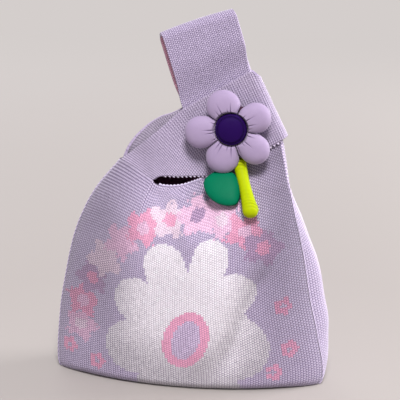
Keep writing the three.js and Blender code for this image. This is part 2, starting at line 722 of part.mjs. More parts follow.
function pinCatch() {
  const x = FLOWER_X + PIN_LENGTH / 2 - PIN_BLOCK / 2;
  const depth = BAND_OUTER - POCKET_FLOOR - GAP;
  return bare(boxAt(x, -(POCKET_FLOOR + GAP + depth / 2), FLOWER_Z, PIN_BLOCK, depth, PIN_BLOCK));
}

function pinNeedle() {
  const length = PIN_LENGTH - 2 * PIN_BLOCK - 2 * GAP;
  const needle = new THREE.CylinderGeometry(NEEDLE_R, NEEDLE_R, length, 10).rotateZ(Math.PI / 2);
  return bare(needle.translate(FLOWER_X, -(POCKET_FLOOR + GAP + NEEDLE_R), FLOWER_Z));
}

function bandWithPocket() {
  const depth = KNIT;
  const room = 2 * GAP;
  const [width, height] = [PIN_LENGTH + room, PIN_WIDTH + room];
  const pocket = boxAt(FLOWER_X, -(POCKET_FLOOR + depth / 2), FLOWER_Z, width, depth, height);
  return geometryOf(solid(bandLayer(FRONT)).subtract(solid(pocket)));
}

// Stem and leaf

function stem() {
  const top = new THREE.Vector3(HANG_X, -(BAND_OUTER + GAP + STEM_TOP_R), HANG_Z);
  const endDepth = wallDepth(STEM_END_X, STEM_END_Z) - STEM_REST - STEM_LOW_R;
  const end = new THREE.Vector3(STEM_END_X, endDepth, STEM_END_Z);
  const along = end.clone().sub(top);
  const length = along.length();
  const upright = new THREE.Vector3(0, 1, 0);
  const turned = new THREE.Quaternion().setFromUnitVectors(upright, along.clone().normalize());
  const profile = [];
  for (const [radius, from, middle] of [[STEM_TOP_R, -1, 0], [STEM_LOW_R, 0, length]]) {
    for (let k = 0; k <= ROUND_STEPS; k++) {
      const turn = (Math.PI / 2) * (from + k / ROUND_STEPS);
      const tip = Math.abs(Math.sin(turn)) === 1;
      profile.push(new THREE.Vector2(tip ? 0 : radius * Math.cos(turn), middle + radius * Math.sin(turn)));
    }
  }
  const body = new THREE.LatheGeometry(profile, 14).applyQuaternion(turned);
  return bare(body.translate(top.x, top.y, top.z));
}

function leaf() {
  const corners = [...LEAF_OUTLINE, LEAF_OUTLINE[0]].map(([x, z]) => new THREE.Vector2(x, z));
  const outline = new THREE.SplineCurve(corners).getPoints(LEAF_POINTS).slice(0, -1);
  const high = -BAND_OUTER;
  const low = wallDepth(LEAF_X, LEAF_Z - LEAF_REACH);
  const tilt = Math.atan2(high - low, 2 * LEAF_REACH);
  const rings = [];
  for (let k = 1; k < LEAF_RINGS; k++) {
    const turn = (Math.PI * k) / LEAF_RINGS;
    const depth = -LEAF_HALF_DEPTH * Math.cos(turn);
    const size = Math.sin(turn) ** LEAF_EASE;
    rings.push(outline.map((p) => new THREE.Vector3(p.x * size, depth, p.y * size)));
  }
  const body = loft(rings);
  body.rotateX(-tilt);
  return body.translate(LEAF_X, (high + low) / 2 - LEAF_REST - LEAF_HALF_DEPTH, LEAF_Z);
}

add("front_panel", wall(frontPoint, FRONT), "knit");
add("back_panel", wall(backPoint, BACK), "knit");
add("bottom_seam", bottomSeam(), "knit");
add("left_side_seam", seamWelt(0), "trim");
add("right_side_seam", seamWelt(1), "trim");
add("front_neck_trim", neckTrim(FRONT), "trim");
add("back_neck_trim", neckTrim(BACK), "trim");
add("short_handle_front", bandWithPocket(), "knit");
add("short_handle_back", bandLayer(BACK), "knit");
add("short_handle_trim_front", bandTrim(FRONT), "trim");
add("short_handle_trim_back", bandTrim(BACK), "trim");
add("long_handle_root_front", throatLayer(rootOutline(FRONT)), "knit");
add("long_handle_root_back", throatLayer(rootOutline(BACK)), "knit");
add("long_handle_throat_front", throatLayer(throatOutline(FRONT)), "knit");
add("long_handle_throat_back", throatLayer(throatOutline(BACK)), "knit");
add("long_handle_grip", grip(), "knit");
PETALS.forEach(({ name }, index) => add(name, petal(index), "satin"));
add("centre_button", centreButton(), "button");
add("gather_thread", gatherThread(), "felt");
add("felt_backing", feltBacking(), "felt");
add("pin_bar", pinBar(), "steel");
add("pin_needle", pinNeedle(), "steel");
add("pin_catch", pinCatch(), "steel");
add("stem", stem(), "stem");
add("leaf", leaf(), "leaf");

export default part;
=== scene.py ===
# Looks of a knot-style knitted wrist bag with a stuffed satin flower pinned on it
import math

import bmesh
import bpy
import numpy as np
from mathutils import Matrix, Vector

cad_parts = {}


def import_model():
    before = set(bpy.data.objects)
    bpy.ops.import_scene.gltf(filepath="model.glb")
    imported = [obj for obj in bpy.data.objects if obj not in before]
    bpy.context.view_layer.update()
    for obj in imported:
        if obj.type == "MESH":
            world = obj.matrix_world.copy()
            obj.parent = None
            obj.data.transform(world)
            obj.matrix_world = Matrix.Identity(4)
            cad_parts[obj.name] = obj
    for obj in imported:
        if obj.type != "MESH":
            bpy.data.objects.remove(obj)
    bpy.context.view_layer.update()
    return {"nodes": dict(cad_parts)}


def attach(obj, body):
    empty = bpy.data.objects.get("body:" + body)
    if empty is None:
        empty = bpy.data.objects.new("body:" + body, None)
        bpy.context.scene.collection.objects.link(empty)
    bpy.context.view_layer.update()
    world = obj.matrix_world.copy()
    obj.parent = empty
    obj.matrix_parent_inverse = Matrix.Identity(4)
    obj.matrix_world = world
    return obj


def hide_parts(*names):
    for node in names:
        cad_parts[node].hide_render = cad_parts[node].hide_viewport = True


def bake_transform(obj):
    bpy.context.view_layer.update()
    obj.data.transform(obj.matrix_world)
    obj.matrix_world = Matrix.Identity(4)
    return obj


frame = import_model()

# Sizes in millimetres, the same as the solids have
MM = 0.001
KNIT = 3
GAP = 0.3
SEAM_PLANE = -18
FLOOR_EDGE_R = 9
FRONT = -1
BACK = 1

# Body outline, as heights and the place or the depth of an edge at each
LEFT_WIDEST = [[0, -114], [5, -119.5], [12, -122], [56, -119], [95, -112], [124, -104.6], [152, -92.7],
               [166, -84], [182, -70], [194, -58]]
RIGHT_RIDGE = [[0, 115], [5, 119], [10, 120.5], [50, 114], [77, 108], [122, 100.3], [165, 90], [195, 82.5],
               [212, 79]]
LEFT_TUCK = [[0, 0], [12, 4], [95, 5], [150, 4], [194, 0]]
RIGHT_PUFF = [[0, 0], [12, 5], [36, 11], [64, 16], [92, 16], [111, 14], [129, 10], [156, 6], [182, 3],
              [212, 0]]
FRONT_BULGE = [[0, 31], [50, 36], [100, 35], [140, 29], [165, 19], [180, 12], [212, 6]]
BACK_DEPTH = [[0, 38], [50, 44], [100, 42], [140, 33], [165, 23], [180, 15], [212, 5]]
SEAM_DEPTH = [[0, SEAM_PLANE], [140, SEAM_PLANE], [175, -13], [194, -4], [212, -2]]
NECK_BLEND_START = 0.7
BULGE_EASE = 0.75
BACK_WIDTH_EASE = 0.8
BACK_DEPTH_EASE = 0.9
TUCK_EASE = 12

# Short handle
BAND_RISE = math.radians(30.5)
BAND_WIDTH = 63
BAND_LOW = 144
BAND_TOP = BAND_LOW + BAND_WIDTH
BAND_CORNER = 8
BAND_CORNER_START = -1.5
SHOULDER_TOP = 45.5
SHOULDER_LOW = 66.3
TOP_SAG = [[SHOULDER_TOP, 11.3], [92, 4.6], [117, 0]]
LOW_RISE = [[SHOULDER_TOP, 32.3], [SHOULDER_LOW, 24.3], [70, 24.8], [86.6, 16.4], [100, 8.1], [107.7, 3.2],
            [125, 0]]
BACK_RISE = [[SHOULDER_TOP, 0], [55, 5.5], [67, 8.8], [79, 9.6], [92, 8], [105, 3.4], [120, 0]]
SLIT_DEPTH = 20
SLIT_DEPTH_EASE = 0.8
BAND_PUFF = 5
BAND_SLACK = 0.35
HALF_STACK = KNIT + GAP / 2
BAND_INNER = HALF_STACK + BAND_SLACK + GAP
BAND_OUTER = BAND_INNER + KNIT

# Long handle
HANDLE_WIDTH = 64.4
HANDLE_LEAN = math.radians(17.3)
HANDLE_TOP = 296.4
HANDLE_SIDE = 65.6
HANDLE_PUFF = 4.2
HANDLE_SKEW = 0.38
HANDLE_TOP_RISE = 1.7
HANDLE_ARCH = 1.2
THROAT_LEFT = 111
THROAT_DRIFT = 4.5
THROAT_WIDTH = HANDLE_WIDTH / math.cos(BAND_RISE - HANDLE_LEAN)
HINGE_V = BAND_TOP + 3.5  # height of the tilt axis across the band
FOLD_ROOM = math.sqrt(BAND_INNER ** 2 - HALF_STACK ** 2)
BAND_END = THROAT_LEFT + THROAT_WIDTH + 3 * GAP - FOLD_ROOM
GRIP_OPEN = 0.6

# Neck opening: its ends as shares of a wall's width, and how far it sags and opens
SLIT_FROM = 7 / 24
SLIT_TO = 14 / 24
SLIT_SAG = 5.6
SLIT_ROUND = 0.5
SLIT_FORWARD = 4
SLIT_CLOSE = 0.45

# Knit: how many stitches lie side by side and above each other
BODY_WALES = 108
BODY_COURSES = 94
FLOOR_COURSES = 24
BAND_WALES = 30
BAND_COURSES = 126
HANDLE_WALES = 36
HANDLE_COURSES = 94
ROOT_COURSES = 26
COURSE_HEIGHT = 2.1

# Stitches: points of each one, how they stand out, and how far a row zigzags
WALE_POINTS = 4
COURSE_POINTS = 2
WALE_RELIEF = [0, 1, 0.6, 1]
COURSE_RELIEF = [0.1, 1]
BAND_WALE_RELIEF = [0.4, 1, 0.7, 1]
CHEVRON = 0.5
RELIEF = 0.6
BAND_RELIEFS = [0.7, 0.15]
HANDLE_RELIEFS = [RELIEF, 0.12]
ROOT_RELIEF = 0.3
# height of a smooth inner face, which sets its even painted shade
PLAIN_HEIGHT = 0.6

# Edges of a knit: how far they roll outwards, as a share of half its thickness
RIM_STEPS = 6
RIM_INSIDE = 0.01
# how deep the painted shade between stitches along an edge goes
RIM_STITCH_SHADE = 0.6
EDGE_ROLL = 0.25
END_ROLL = 0.3
FLAT_ROLL = 0.05

# Plain rows on the left shoulder, as shares of a wall's height and width
ROWS_FROM = 0.6
ROWS_TO = 0.42
ROWS_EASE = 0.14

# Soft folds of the front: place at the top, top, foot, slope, half width and height
FOLDS = [[2, 186, 112, 0.04, 9, 5], [20, 186, 118, 0.1, 7, -5], [-28, 178, 112, 0.55, 10, -2.6],
         [66, 178, 104, 0.2, 15, -3.6], [70, 106, 8, -0.36, 12, -7.5], [42, 100, 8, -0.3, 14, 3],
         [-70, 150, 20, -0.12, 20, -3.4]]
FOLD_FADE = 34
FOLD_EARLY = 0.6
FOLD_EDGE = 9
HOLLOW_SLOPE = 0.42
HOLLOW_REACH = 11
HOLLOW_EASE = 0.12
EVEN_HEIGHT = 80  # where the stitches of the back wall are even
FLAT_STEPS = 120

# Straps: share of their length in one layer, and stretches of heights across the band between two bodies
BAND_LAYER = 0.46
HANDLE_LAYER = 0.431
HANDLE_FOOT = 215
HANDLE_MIDDLE = 150
SKEW_LENGTH = 18
TILT_BLEND = [HINGE_V - 5.5, HINGE_V + 4.5]
PULL_BLEND = [BAND_LOW + 6, BAND_LOW + 34]

# Strips at the sides, towards the neck
GUSSET_FROM = 0.66
GUSSET_WALES = 3
GUSSET_COURSES = 30
GUSSET_BULGE = 0.3

# Trims
WELT_FROM = 0.02
WELT_TO = 0.97
WELT_POINTS = 420
WELT_OUT = 0.75
WELT_FORWARD = 0.66
LEFT_WELT_R = 0.55
RIGHT_WELT_R = 0.65
PLY_RELIEF = 0.14
TRIM_END = 0.7 / 24
BAND_TRIM_FROM = 0.08
LIP_PICOT = [2.2, 3.2]  # height and pitch
BAND_PICOT = [3, 3.6]
LIP_POINTS = 300
BAND_EDGE_POINTS = 700
PICOT_BASE = 0.6
PICOT_SEAT = 0.3
PICOT_THICK = 0.8
PICOT_SIDES = 10
PICOT_FOOT = 0.45

# Flower: petals as angle in degrees, reach and radius
FLOWER_X = 38.9
FLOWER_Z = 224.7
PETALS = [[111, 18.9, 14.7], [188.5, 26.2, 13.8], [253, 25, 14.3], [319, 25.8, 12.8], [385.6, 22.2, 12.9]]
PETAL_HALF_DEPTH = 8
PETAL_FULLNESS = 0.8
PETAL_PRESS = 1.0
PETAL_INNER = 3
PETAL_SQUEEZE = 0.6
PETAL_SQUEEZE_MOST = 2.2
PETAL_GATHERS = [-0.95, -0.35, 0.2, 0.85]
GATHER_SPREAD = math.radians(25)
GATHER_SCATTER = 0.12
GATHER_LENGTH = 10.4
GATHER_UNEVEN = 3.9
GATHER_WIDTH = 0.34
GATHER_DEPTH = 1.3
PETAL_SLOPE = 2.8
PETAL_SIDES = 216
PETAL_RINGS = 120
BUTTON_R = 13
BUTTON_SINK = 7
BUTTON_RIM = 4
BUTTON_DOME = 4
BUTTON_BULGE = 0.4
BUTTON_BACK_SHARE = 0.9
BUTTON_SIDES = 192
BUTTON_FACE_RINGS = 60
BUTTON_SIDE_RINGS = 12
STITCH_RING_R = 11.2
STITCH_RING_WIDTH = 0.75
STITCH_COUNT = 56
STITCH_GROOVE = 1.1
STITCH_HEIGHT = 0.9
STITCH_SHADE = 0.9
SHANK_R = 3
SHANK_NECK = 0.2
TIP_R = 0.01
THREAD_R = 1
THREAD_LAP = 0.6
THREAD_TURN_R = 0.4
THREAD_PITCH = 1.2
THREAD_STEPS = 120
FELT = 1.2
FELT_R = 19
FELT_EDGE = [0.5, 0.3]  # how far its cut edge is rounded, across and through
FELT_WAVE = 0.002
FELT_SIDES = 96
PIN_PLATE = 1.2
FELT_BACK = BAND_OUTER + GAP + PIN_PLATE + GAP
PETAL_Y = -(FELT_BACK + FELT + GAP + PETAL_HALF_DEPTH)
BUTTON_BACK = PETAL_Y - PETAL_HALF_DEPTH + BUTTON_SINK

# Stem and leaf
HANG_X = 47.5
HANG_Z = 193.5
STEM_TOP_R = 5
STEM_LOW_R = 6.6
STEM_END_X = 58
STEM_END_Z = 160.5
STEM_REST = 2.6
STEM_ASIDE = 2.4
STEM_GIRTH = [[0, 5.7], [0.45, 4.9], [0.75, 5.6], [1, 6.7]]
STEM_RINGS = 90
STEM_SIDES = 48
WRINKLE_REACH = 9
WRINKLE_LEAST = 0.15
WRINKLE_DEPTH = 0.065
WRINKLE_SHADE = 0.6
WRINKLE_RATE = 1.9
WRINKLE_LEAN = 1.6
WRINKLE_DRIFT = 1.3
LEAF_OUTLINE = [[-15.5, 3], [-12, -6.5], [-3, -13], [8, -14.2], [13, -10], [12.5, 2], [7, 10], [-1, 12],
                [-9, 10]]
LEAF_STEPS = 9
LEAF_RINGS = 40
LEAF_HALF_DEPTH = 5
LEAF_EASE = 0.7
LEAF_SEAM_WIDTH = 0.07
LEAF_SEAM_SINK = 0.02
LEAF_SEAM_SHADE = 0.4
LEAF_REACH = 13
LEAF_REST = 2
LEAF_X = 30.7
LEAF_Z = 173
LEAF_FULLER = [1.1, 1.22]
LEAF_SHIFT = [2.5, 3.4]

# View of the photo: lengths in metres, and the lens in millimetres
TARGET = (0.009, 0, 0.157)
VIEW_TURN = math.radians(10)
VIEW_RISE = math.radians(15)
VIEW_DISTANCE = 0.95
VIEW_LENS = 98.3

# Lamps: name, place in metres, size in metres, power in watts and colour
LAMPS = [["key", (0.42, -1.7, 2.4), 0.8, 112.0, (1.0, 0.985, 0.97)],
         ["window", (3.0, 1.3, 1.1), 1.6, 150.0, (1.0, 0.99, 0.98)],
         ["back_fill", (-1.4, 2.2, 1.5), 1.8, 13.0, (0.99, 0.99, 1.0)]]
WORLD_STRENGTH = 0.58
WORLD_COLOUR = (0.97, 0.96, 1.0, 1)

# Floor: half its side and how far it lies under the bag, then where it grows pale and where it passes
# into the backdrop, in metres
FLOOR_SIDE = 9000
FLOOR_DROP = 0.2
PALE_REACH = [0.3, 6.0]
BACKDROP_REACH = [0.8, 2.8]


# Small maths helpers

def mix(a, b, share):
    return a + (b - a) * share


def smooth(share):
    s = np.clip(share, 0, 1)
    return s * s * (3 - 2 * s)


def at(stations, place):
    """Value of a list of stations at a place, with smooth slopes that never overshoot."""
    xs, ys = np.array(stations, float).T
    slopes = np.diff(ys) / np.diff(xs)
    tangents = np.concatenate([slopes[:1], np.zeros(len(xs) - 2), slopes[-1:]])
    same = slopes[:-1] * slopes[1:] > 0
    before = np.where(same, slopes[:-1], 1)
    after = np.where(same, slopes[1:], 1)
    tangents[1:-1] = np.where(same, 2 / (1 / before + 1 / after), 0)
    place = np.clip(place, xs[0], xs[-1])
    i = np.clip(np.searchsorted(xs, place, side="right") - 1, 0, len(xs) - 2)
    span = xs[i + 1] - xs[i]
    t = (place - xs[i]) / span
    rise = ys[i + 1] - ys[i]
    m0 = tangents[i] * span
    m1 = tangents[i + 1] * span
    return ys[i] + t * m0 + t * t * (3 * rise - 2 * m0 - m1) + t ** 3 * (m0 + m1 - 2 * rise)


def evenly(count, end=1.0):
    """Count even steps from 0 to end."""
    return np.linspace(0, end, count + 1)


def vec(x, y, z):
    return np.stack(np.broadcast_arrays(x, y, z), axis=-1).astype(float)


def turned(x, y, angle):
    """Plane coordinates after a turn about the origin."""
    return x * math.cos(angle) - y * math.sin(angle), x * math.sin(angle) + y * math.cos(angle)


def unit(v):
    return v / np.maximum(np.linalg.norm(v, axis=-1, keepdims=True), 1e-9)


def length_along(path):
    """Length of a line up to each of its points."""
    return np.concatenate([[0], np.cumsum(np.linalg.norm(np.diff(path, axis=0), axis=1))])


def linear(*srgb):
    """Scene-linear colour of an sRGB colour from 0 to 255."""
    c = np.array(srgb, float) / 255
    return np.where(c <= 0.04045, c / 12.92, ((c + 0.055) / 1.055) ** 2.4)


# Surfaces of the bag, the same as the solids have

def band_point(along, across, y):
    """Point of the short handle, from its place along the band and its height across it."""
    x, z = turned(along, across, BAND_RISE)
    return vec(x, y, z)


def band_across(along, share, side):
    """Height across the band, from its top edge (0) to its lower edge (1)."""
    fall_length = BAND_CORNER_START + BAND_OUTER
    fall = BAND_CORNER * smooth((along - BAND_END - THROAT_DRIFT + BAND_CORNER_START) / fall_length)
    extra = np.where(np.asarray(side) > 0, at(BACK_RISE, along), 0)
    return mix(BAND_TOP - at(TOP_SAG, along) + extra - fall, BAND_LOW + at(LOW_RISE, along), share)


def fold_start(share):
    return BAND_END + THROAT_DRIFT * (1 - share)


def band_place(t, share, side):
    start = mix(SHOULDER_TOP, SHOULDER_LOW, share)
    along = mix(start, fold_start(share), t)
    settle = 1 - smooth((along - start) / (THROAT_LEFT + THROAT_DRIFT - start))
    shoulder = mix(HALF_STACK, SLIT_DEPTH, np.asarray(share, float) ** SLIT_DEPTH_EASE)
    puff = BAND_PUFF * np.sin(np.pi * settle) * (1 - share / 2)
    depth = mix(BAND_OUTER, shoulder, settle) + puff
    return band_point(along, band_across(along, share, side), side * depth)


def wall_top(s, side):
    """Upper edge of a wall: left shoulder, slit lip, then the right shoulder under the band."""
    right = THROAT_LEFT - GAP
    low = BAND_LOW - 2 * GAP
    closed = side * (HALF_STACK + GAP)
    shoulder = band_place(0, np.clip(s / SLIT_FROM, 0, 1), side)
    share = np.clip((s - SLIT_FROM) / (SLIT_TO - SLIT_FROM), 0, 1)
    lip = mix(band_place(0, 1.0, side), band_point(right, low, closed), share[..., None])
    opened = side * (SLIT_DEPTH + SLIT_FORWARD * np.sin(np.pi * share))
    lip[..., 2] -= SLIT_SAG * np.sin(np.pi * share ** SLIT_ROUND)
    lip[..., 1] = mix(opened, closed, smooth((share - SLIT_CLOSE) / (1 - SLIT_CLOSE)))
    share = np.clip((s - SLIT_TO) / (1 - SLIT_TO), 0, 1)
    under = band_point(mix(right, THROAT_LEFT + HANDLE_WIDTH, share), low, closed)
    first = (s <= SLIT_FROM)[..., None]
    second = (s <= SLIT_TO)[..., None]
    return np.where(first, shoulder, np.where(second, lip, under))


def neck_share(t):
    return smooth((t - NECK_BLEND_START) / (1 - NECK_BLEND_START))


def front_section(s, z):
    left = at(LEFT_WIDEST, z) + at(LEFT_TUCK, z)
    x = mix(left, at(RIGHT_RIDGE, z), s)
    bulge = at(FRONT_BULGE, z) * np.clip(4 * s * (1 - s), 0, 1) ** BULGE_EASE
    return vec(x, at(SEAM_DEPTH, z) - bulge, z)


def back_section(s, z):
    left = at(LEFT_WIDEST, z)
    right = at(RIGHT_RIDGE, z) + at(RIGHT_PUFF, z)
    turn = np.pi * (1 - s)
    around = np.sign(np.cos(turn)) * np.abs(np.cos(turn)) ** BACK_WIDTH_EASE
    tuck = np.where(s < 0.5, at(LEFT_TUCK, z), -at(RIGHT_PUFF, z)) * np.abs(2 * s - 1) ** TUCK_EASE
    x = (left + right) / 2 + ((right - left) / 2) * around + tuck
    share = np.clip(np.sin(turn), 0, 1) ** BACK_DEPTH_EASE
    return vec(x, mix(at(SEAM_DEPTH, z), at(BACK_DEPTH, z), share), z)


def wall_place(section, side, s, t):
    """Point of a wall, led over to the neck edge in its upper part."""
    top = wall_top(s, side)
    off = (top - section(s, top[..., 2])) * neck_share(t)[..., None]
    return section(s, top[..., 2] * t) + off


def wall_from_floor(section, side, s, v):
    """Point of a wall whose first stretch is the rounded edge along the floor."""
    height = wall_top(s, side)[..., 2]
    bend = FLOOR_EDGE_R * math.pi / 2
    path = v * (height - FLOOR_EDGE_R + bend)
    turn = np.clip(path / FLOOR_EDGE_R, 0, math.pi / 2)
    rise = np.where(path < bend, FLOOR_EDGE_R * (1 - np.cos(turn)), FLOOR_EDGE_R + path - bend)
    point = wall_place(section, side, s, np.maximum(rise, FLOOR_EDGE_R) / height)
    share = 1 - np.sin(turn)
    reach = np.abs(point[..., 1] - SEAM_PLANE)
    point[..., 1] -= side * np.minimum(FLOOR_EDGE_R, reach / 2) * share
    point[..., 0] = mix(point[..., 0], section(s, np.zeros_like(s))[..., 0], share)
    point[..., 2] = np.where(path < bend, rise, point[..., 2])
    return point


# Colours of the yarns and cloths

LILAC = linear(217, 205, 229)
LILAC_DEEP = linear(203, 191, 218)
# Painted shade: the short handle's lilac, a darker copy of the yarn for the shade the band lies in
BAND_SHADED_LILAC = linear(199, 187, 210)
# Painted shade: the rolled sides of both straps, darker to damp the light their round edges catch
EDGE_SHADED_LILAC = linear(172, 158, 186)
EYE_LILAC = linear(230, 212, 238)
# Painted highlight: pale colour for the light line along a knit edge, on the long handle's two ends
PALE_EDGE_HIGHLIGHT = linear(230, 219, 233)
WHITE = linear(253, 249, 251)
ROSE = linear(252, 180, 208)
ROSE_SOFT = linear(250, 208, 232)
WHITE_ROSE = linear(250, 228, 240)
MAUVE = linear(206, 176, 208)
PLUM = linear(58, 16, 48)
# Inner face of the walls: darker reverse yarn, darkened further as painted shade for the inside seen through
# the neck
INSIDE_YARN_AND_SHADE = linear(128, 44, 100)
GREY_LILAC = linear(216, 206, 224)
SHELL_PINK = linear(246, 184, 202)
SATIN_LILAC = linear(152, 136, 165)
BUTTON_PURPLE = linear(32, 6, 70)
LEAF_GREEN = linear(0, 100, 70)
STEM_LIME = linear(156, 172, 2)
STEEL = linear(200, 200, 204)

# Knitted-in flower: its middle, its disc, the tips and half widths of its petals, and its oval eye
MOTIF_X = 6
MOTIF_Z = 47
MOTIF_DISC = 54
MOTIF_PETALS = [[25, 87, 15], [52, 55, 19], [70, -14, 27], [-72, -16, 25], [-60, 44, 19], [-24, 82, 18],
                [-34, -62, 20], [36, -64, 20]]
EYE_WIDTH = 38.5
EYE_HEIGHT = 53
EYE_RING = 7.5
EYE_TILT = math.radians(-24)
# Painted shade: the flower's white darker towards the foot of the front, up to WHITE_SHADE_FROM millimetres
WHITE_SHADE = 0.2
WHITE_SHADE_FROM = 75

# An arc of soft round blooms above the flower, and small blossoms beside it, as x and z of their middles
BLOOMS = [[-92, 48], [-90, 70], [-80, 92], [-68, 111], [-52, 128], [-32, 141], [-10, 149], [13, 152],
          [34, 150], [54, 141], [69, 127]]
BLOOM_WIDTH = 14.5
BLOOM_HEIGHT = 13
BLOOM_SOFTNESS = 0.09
BLOOM_LOBES = 5
BLOOM_LOBE_DEPTH = 0.2
BLOOM_CORE = 0.4
BLOOM_COLOURS = [ROSE_SOFT, ROSE, MAUVE, WHITE_ROSE, ROSE_SOFT, ROSE, WHITE_ROSE, ROSE_SOFT]
BLOSSOMS = [[-76, 17], [87, 76], [93, 38], [80, 17], [-104, 26]]
BLOSSOM_PETALS = 5
BLOSSOM_REACH = 5
BLOSSOM_PETAL_R = 3

# Painted shade towards the sides of the front, by height: how much darker the yarn is painted there
SIDE_SHADE = [[0, 0.04], [75, 0.3], [150, 0.42]]
SIDE_SHADE_FROM = 26
SIDE_SHADE_REACH = 55
DYE_SPREAD = 0.035  # how differently the stitches take their dye


# Meshes

ODD_WAY = np.array([0.31, 0.87, 0.24])  # a direction along which no tube runs
WELD_REACH = 0.000002  # in metres


def make_mesh(name, points, quads):
    """Smooth mesh object from points in millimetres and faces of four corners."""
    mesh = bpy.data.meshes.new(name)
    mesh.vertices.add(len(points))
    mesh.vertices.foreach_set("co", (np.asarray(points) * MM).ravel())
    mesh.loops.add(quads.size)
    mesh.loops.foreach_set("vertex_index", quads.ravel())
    mesh.polygons.add(len(quads))
    mesh.polygons.foreach_set("loop_start", np.arange(0, quads.size, 4))
    mesh.update(calc_edges=True)
    mesh.polygons.foreach_set("use_smooth", np.full(len(quads), True))
    obj = bpy.data.objects.new(name, mesh)
    bpy.context.scene.collection.objects.link(obj)
    return obj


def weld(obj):
    """Joins points that lie in one place, such as the two ends of a ring."""
    mesh = bmesh.new()
    mesh.from_mesh(obj.data)
    bmesh.ops.remove_doubles(mesh, verts=mesh.verts, dist=WELD_REACH)
    mesh.to_mesh(obj.data)
    mesh.free()


def dress(piece, nodes, body=None):
    """Shows a piece instead of nodes of the solids, and lets it move with a body."""
    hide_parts(*nodes)
    if body:
        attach(piece, body)


def grid_quads(rows, columns, flip=False):
    """Faces of a grid of points that lie row by row."""
    ids = np.arange(rows * columns).reshape(rows, columns)
    corners = [ids[:-1, :-1], ids[:-1, 1:], ids[1:, 1:], ids[1:, :-1]]
    if flip:
        corners.reverse()
    return np.stack(corners, axis=-1).reshape(-1, 4)


class Fabric:
    """Grids that together make one knitted piece, with their colours, heights and stitch coordinates."""

    def __init__(self):
        self.points = []
        self.quads = []
        self.colours = []
        self.heights = []
        self.stitches = []
        self.count = 0

    def add(self, points, colours, heights, across, along, flip):
        """Adds a grid; across and along count stitches, for the plies of the yarn."""
        rows, columns = points.shape[:2]
        stitches = np.stack(np.broadcast_arrays(across, along), axis=-1)
        self.quads.append(grid_quads(rows, columns, flip) + self.count)
        self.points.append(points.reshape(-1, 3))
        self.colours.append(np.broadcast_to(colours, (rows - 1, columns - 1, 3)).reshape(-1, 3))
        self.heights.append(np.broadcast_to(heights, (rows, columns)).ravel())
        self.stitches.append(stitches.reshape(-1, 2))
        self.count += rows * columns

    def build(self, name, material):
        quads = np.concatenate(self.quads)
        obj = make_mesh(name, np.concatenate(self.points), quads)
        mesh = obj.data
        colours = np.repeat(np.concatenate(self.colours), 4, axis=0)
        tone = mesh.color_attributes.new("tone", "FLOAT_COLOR", "CORNER")
        tone.data.foreach_set("color", np.insert(colours, 3, 1, axis=1).ravel())
        height = mesh.attributes.new("height", "FLOAT", "POINT")
        height.data.foreach_set("value", np.concatenate(self.heights))
        layer = mesh.uv_layers.new(name="stitches")
        layer.data.foreach_set("uv", np.concatenate(self.stitches)[quads.ravel()].ravel())
        mesh.materials.append(material)
        weld(obj)
        return obj


def surface_normals(points, outward):
    across = np.gradient(points, axis=1)
    along = np.gradient(points, axis=0)
    return unit(np.cross(across, along)) * outward


def chevron_grid(wales, courses):
    """Shares across and along a fabric of the points of its stitches, whose rows zigzag."""
    columns = np.arange(WALE_POINTS * wales + 1)
    rows = np.arange(COURSE_POINTS * courses + 1)
    v = rows / (COURSE_POINTS * courses)
    arm = np.abs(2 * ((columns / WALE_POINTS) % 1) - 1)
    room = np.clip(np.minimum(v, 1 - v) * courses, 0, 1)
    shift = CHEVRON * (arm[None, :] - 0.5) * room[:, None] / courses
    u, v = np.meshgrid(columns / (WALE_POINTS * wales), v)
    return u, v + shift


def stitch_heights(wales, courses, wale_relief, staggered):
    """How far each point of a knit stands out; staggered stitches lie like bricks."""
    columns = np.arange(WALE_POINTS * wales + 1)
    rows = np.arange(COURSE_POINTS * courses + 1)
    step = (columns // WALE_POINTS) % COURSE_POINTS if staggered else np.zeros_like(columns)
    course = np.array(COURSE_RELIEF)[(rows[:, None] + step[None, :]) % COURSE_POINTS]
    return course * np.array(wale_relief)[columns % WALE_POINTS][None, :]


def knit_face(fabric, place, wales, courses, outward, tone, depth=0, relief=RELIEF, wale_relief=WALE_RELIEF,
              staggered=True, plain=None):
    """Adds one face of a knit in real stitches, depth millimetres under the surface that place gives."""
    u, v = chevron_grid(wales, courses)
    surface = place(u, v)
    heights = stitch_heights(wales, courses, wale_relief, staggered)
    if plain is not None:
        heights = mix(heights, stitch_heights(wales, courses, wale_relief, False), plain(u, v))
    way = 1 if depth == 0 else -1
    lift = way * relief * (heights - 0.5) - depth
    points = surface + surface_normals(surface, outward) * lift[..., None]
    middle = surface[COURSE_POINTS // 2::COURSE_POINTS, WALE_POINTS // 2::WALE_POINTS]
    colours = np.repeat(np.repeat(tone(middle), COURSE_POINTS, axis=0), WALE_POINTS, axis=1)
    fabric.add(points, colours, heights, u * wales, v * courses, flip=(outward * way < 0))


def plain_face(fabric, place, wales, courses, outward, colour):
    """Adds the smooth inner face of a knit, for a side that stays out of sight."""
    u, v = np.meshgrid(evenly(wales), evenly(courses))
    surface = place(u, v)
    points = surface - surface_normals(surface, outward) * KNIT
    fabric.add(points, colour, PLAIN_HEIGHT, u * wales, v * courses, flip=(outward > 0))


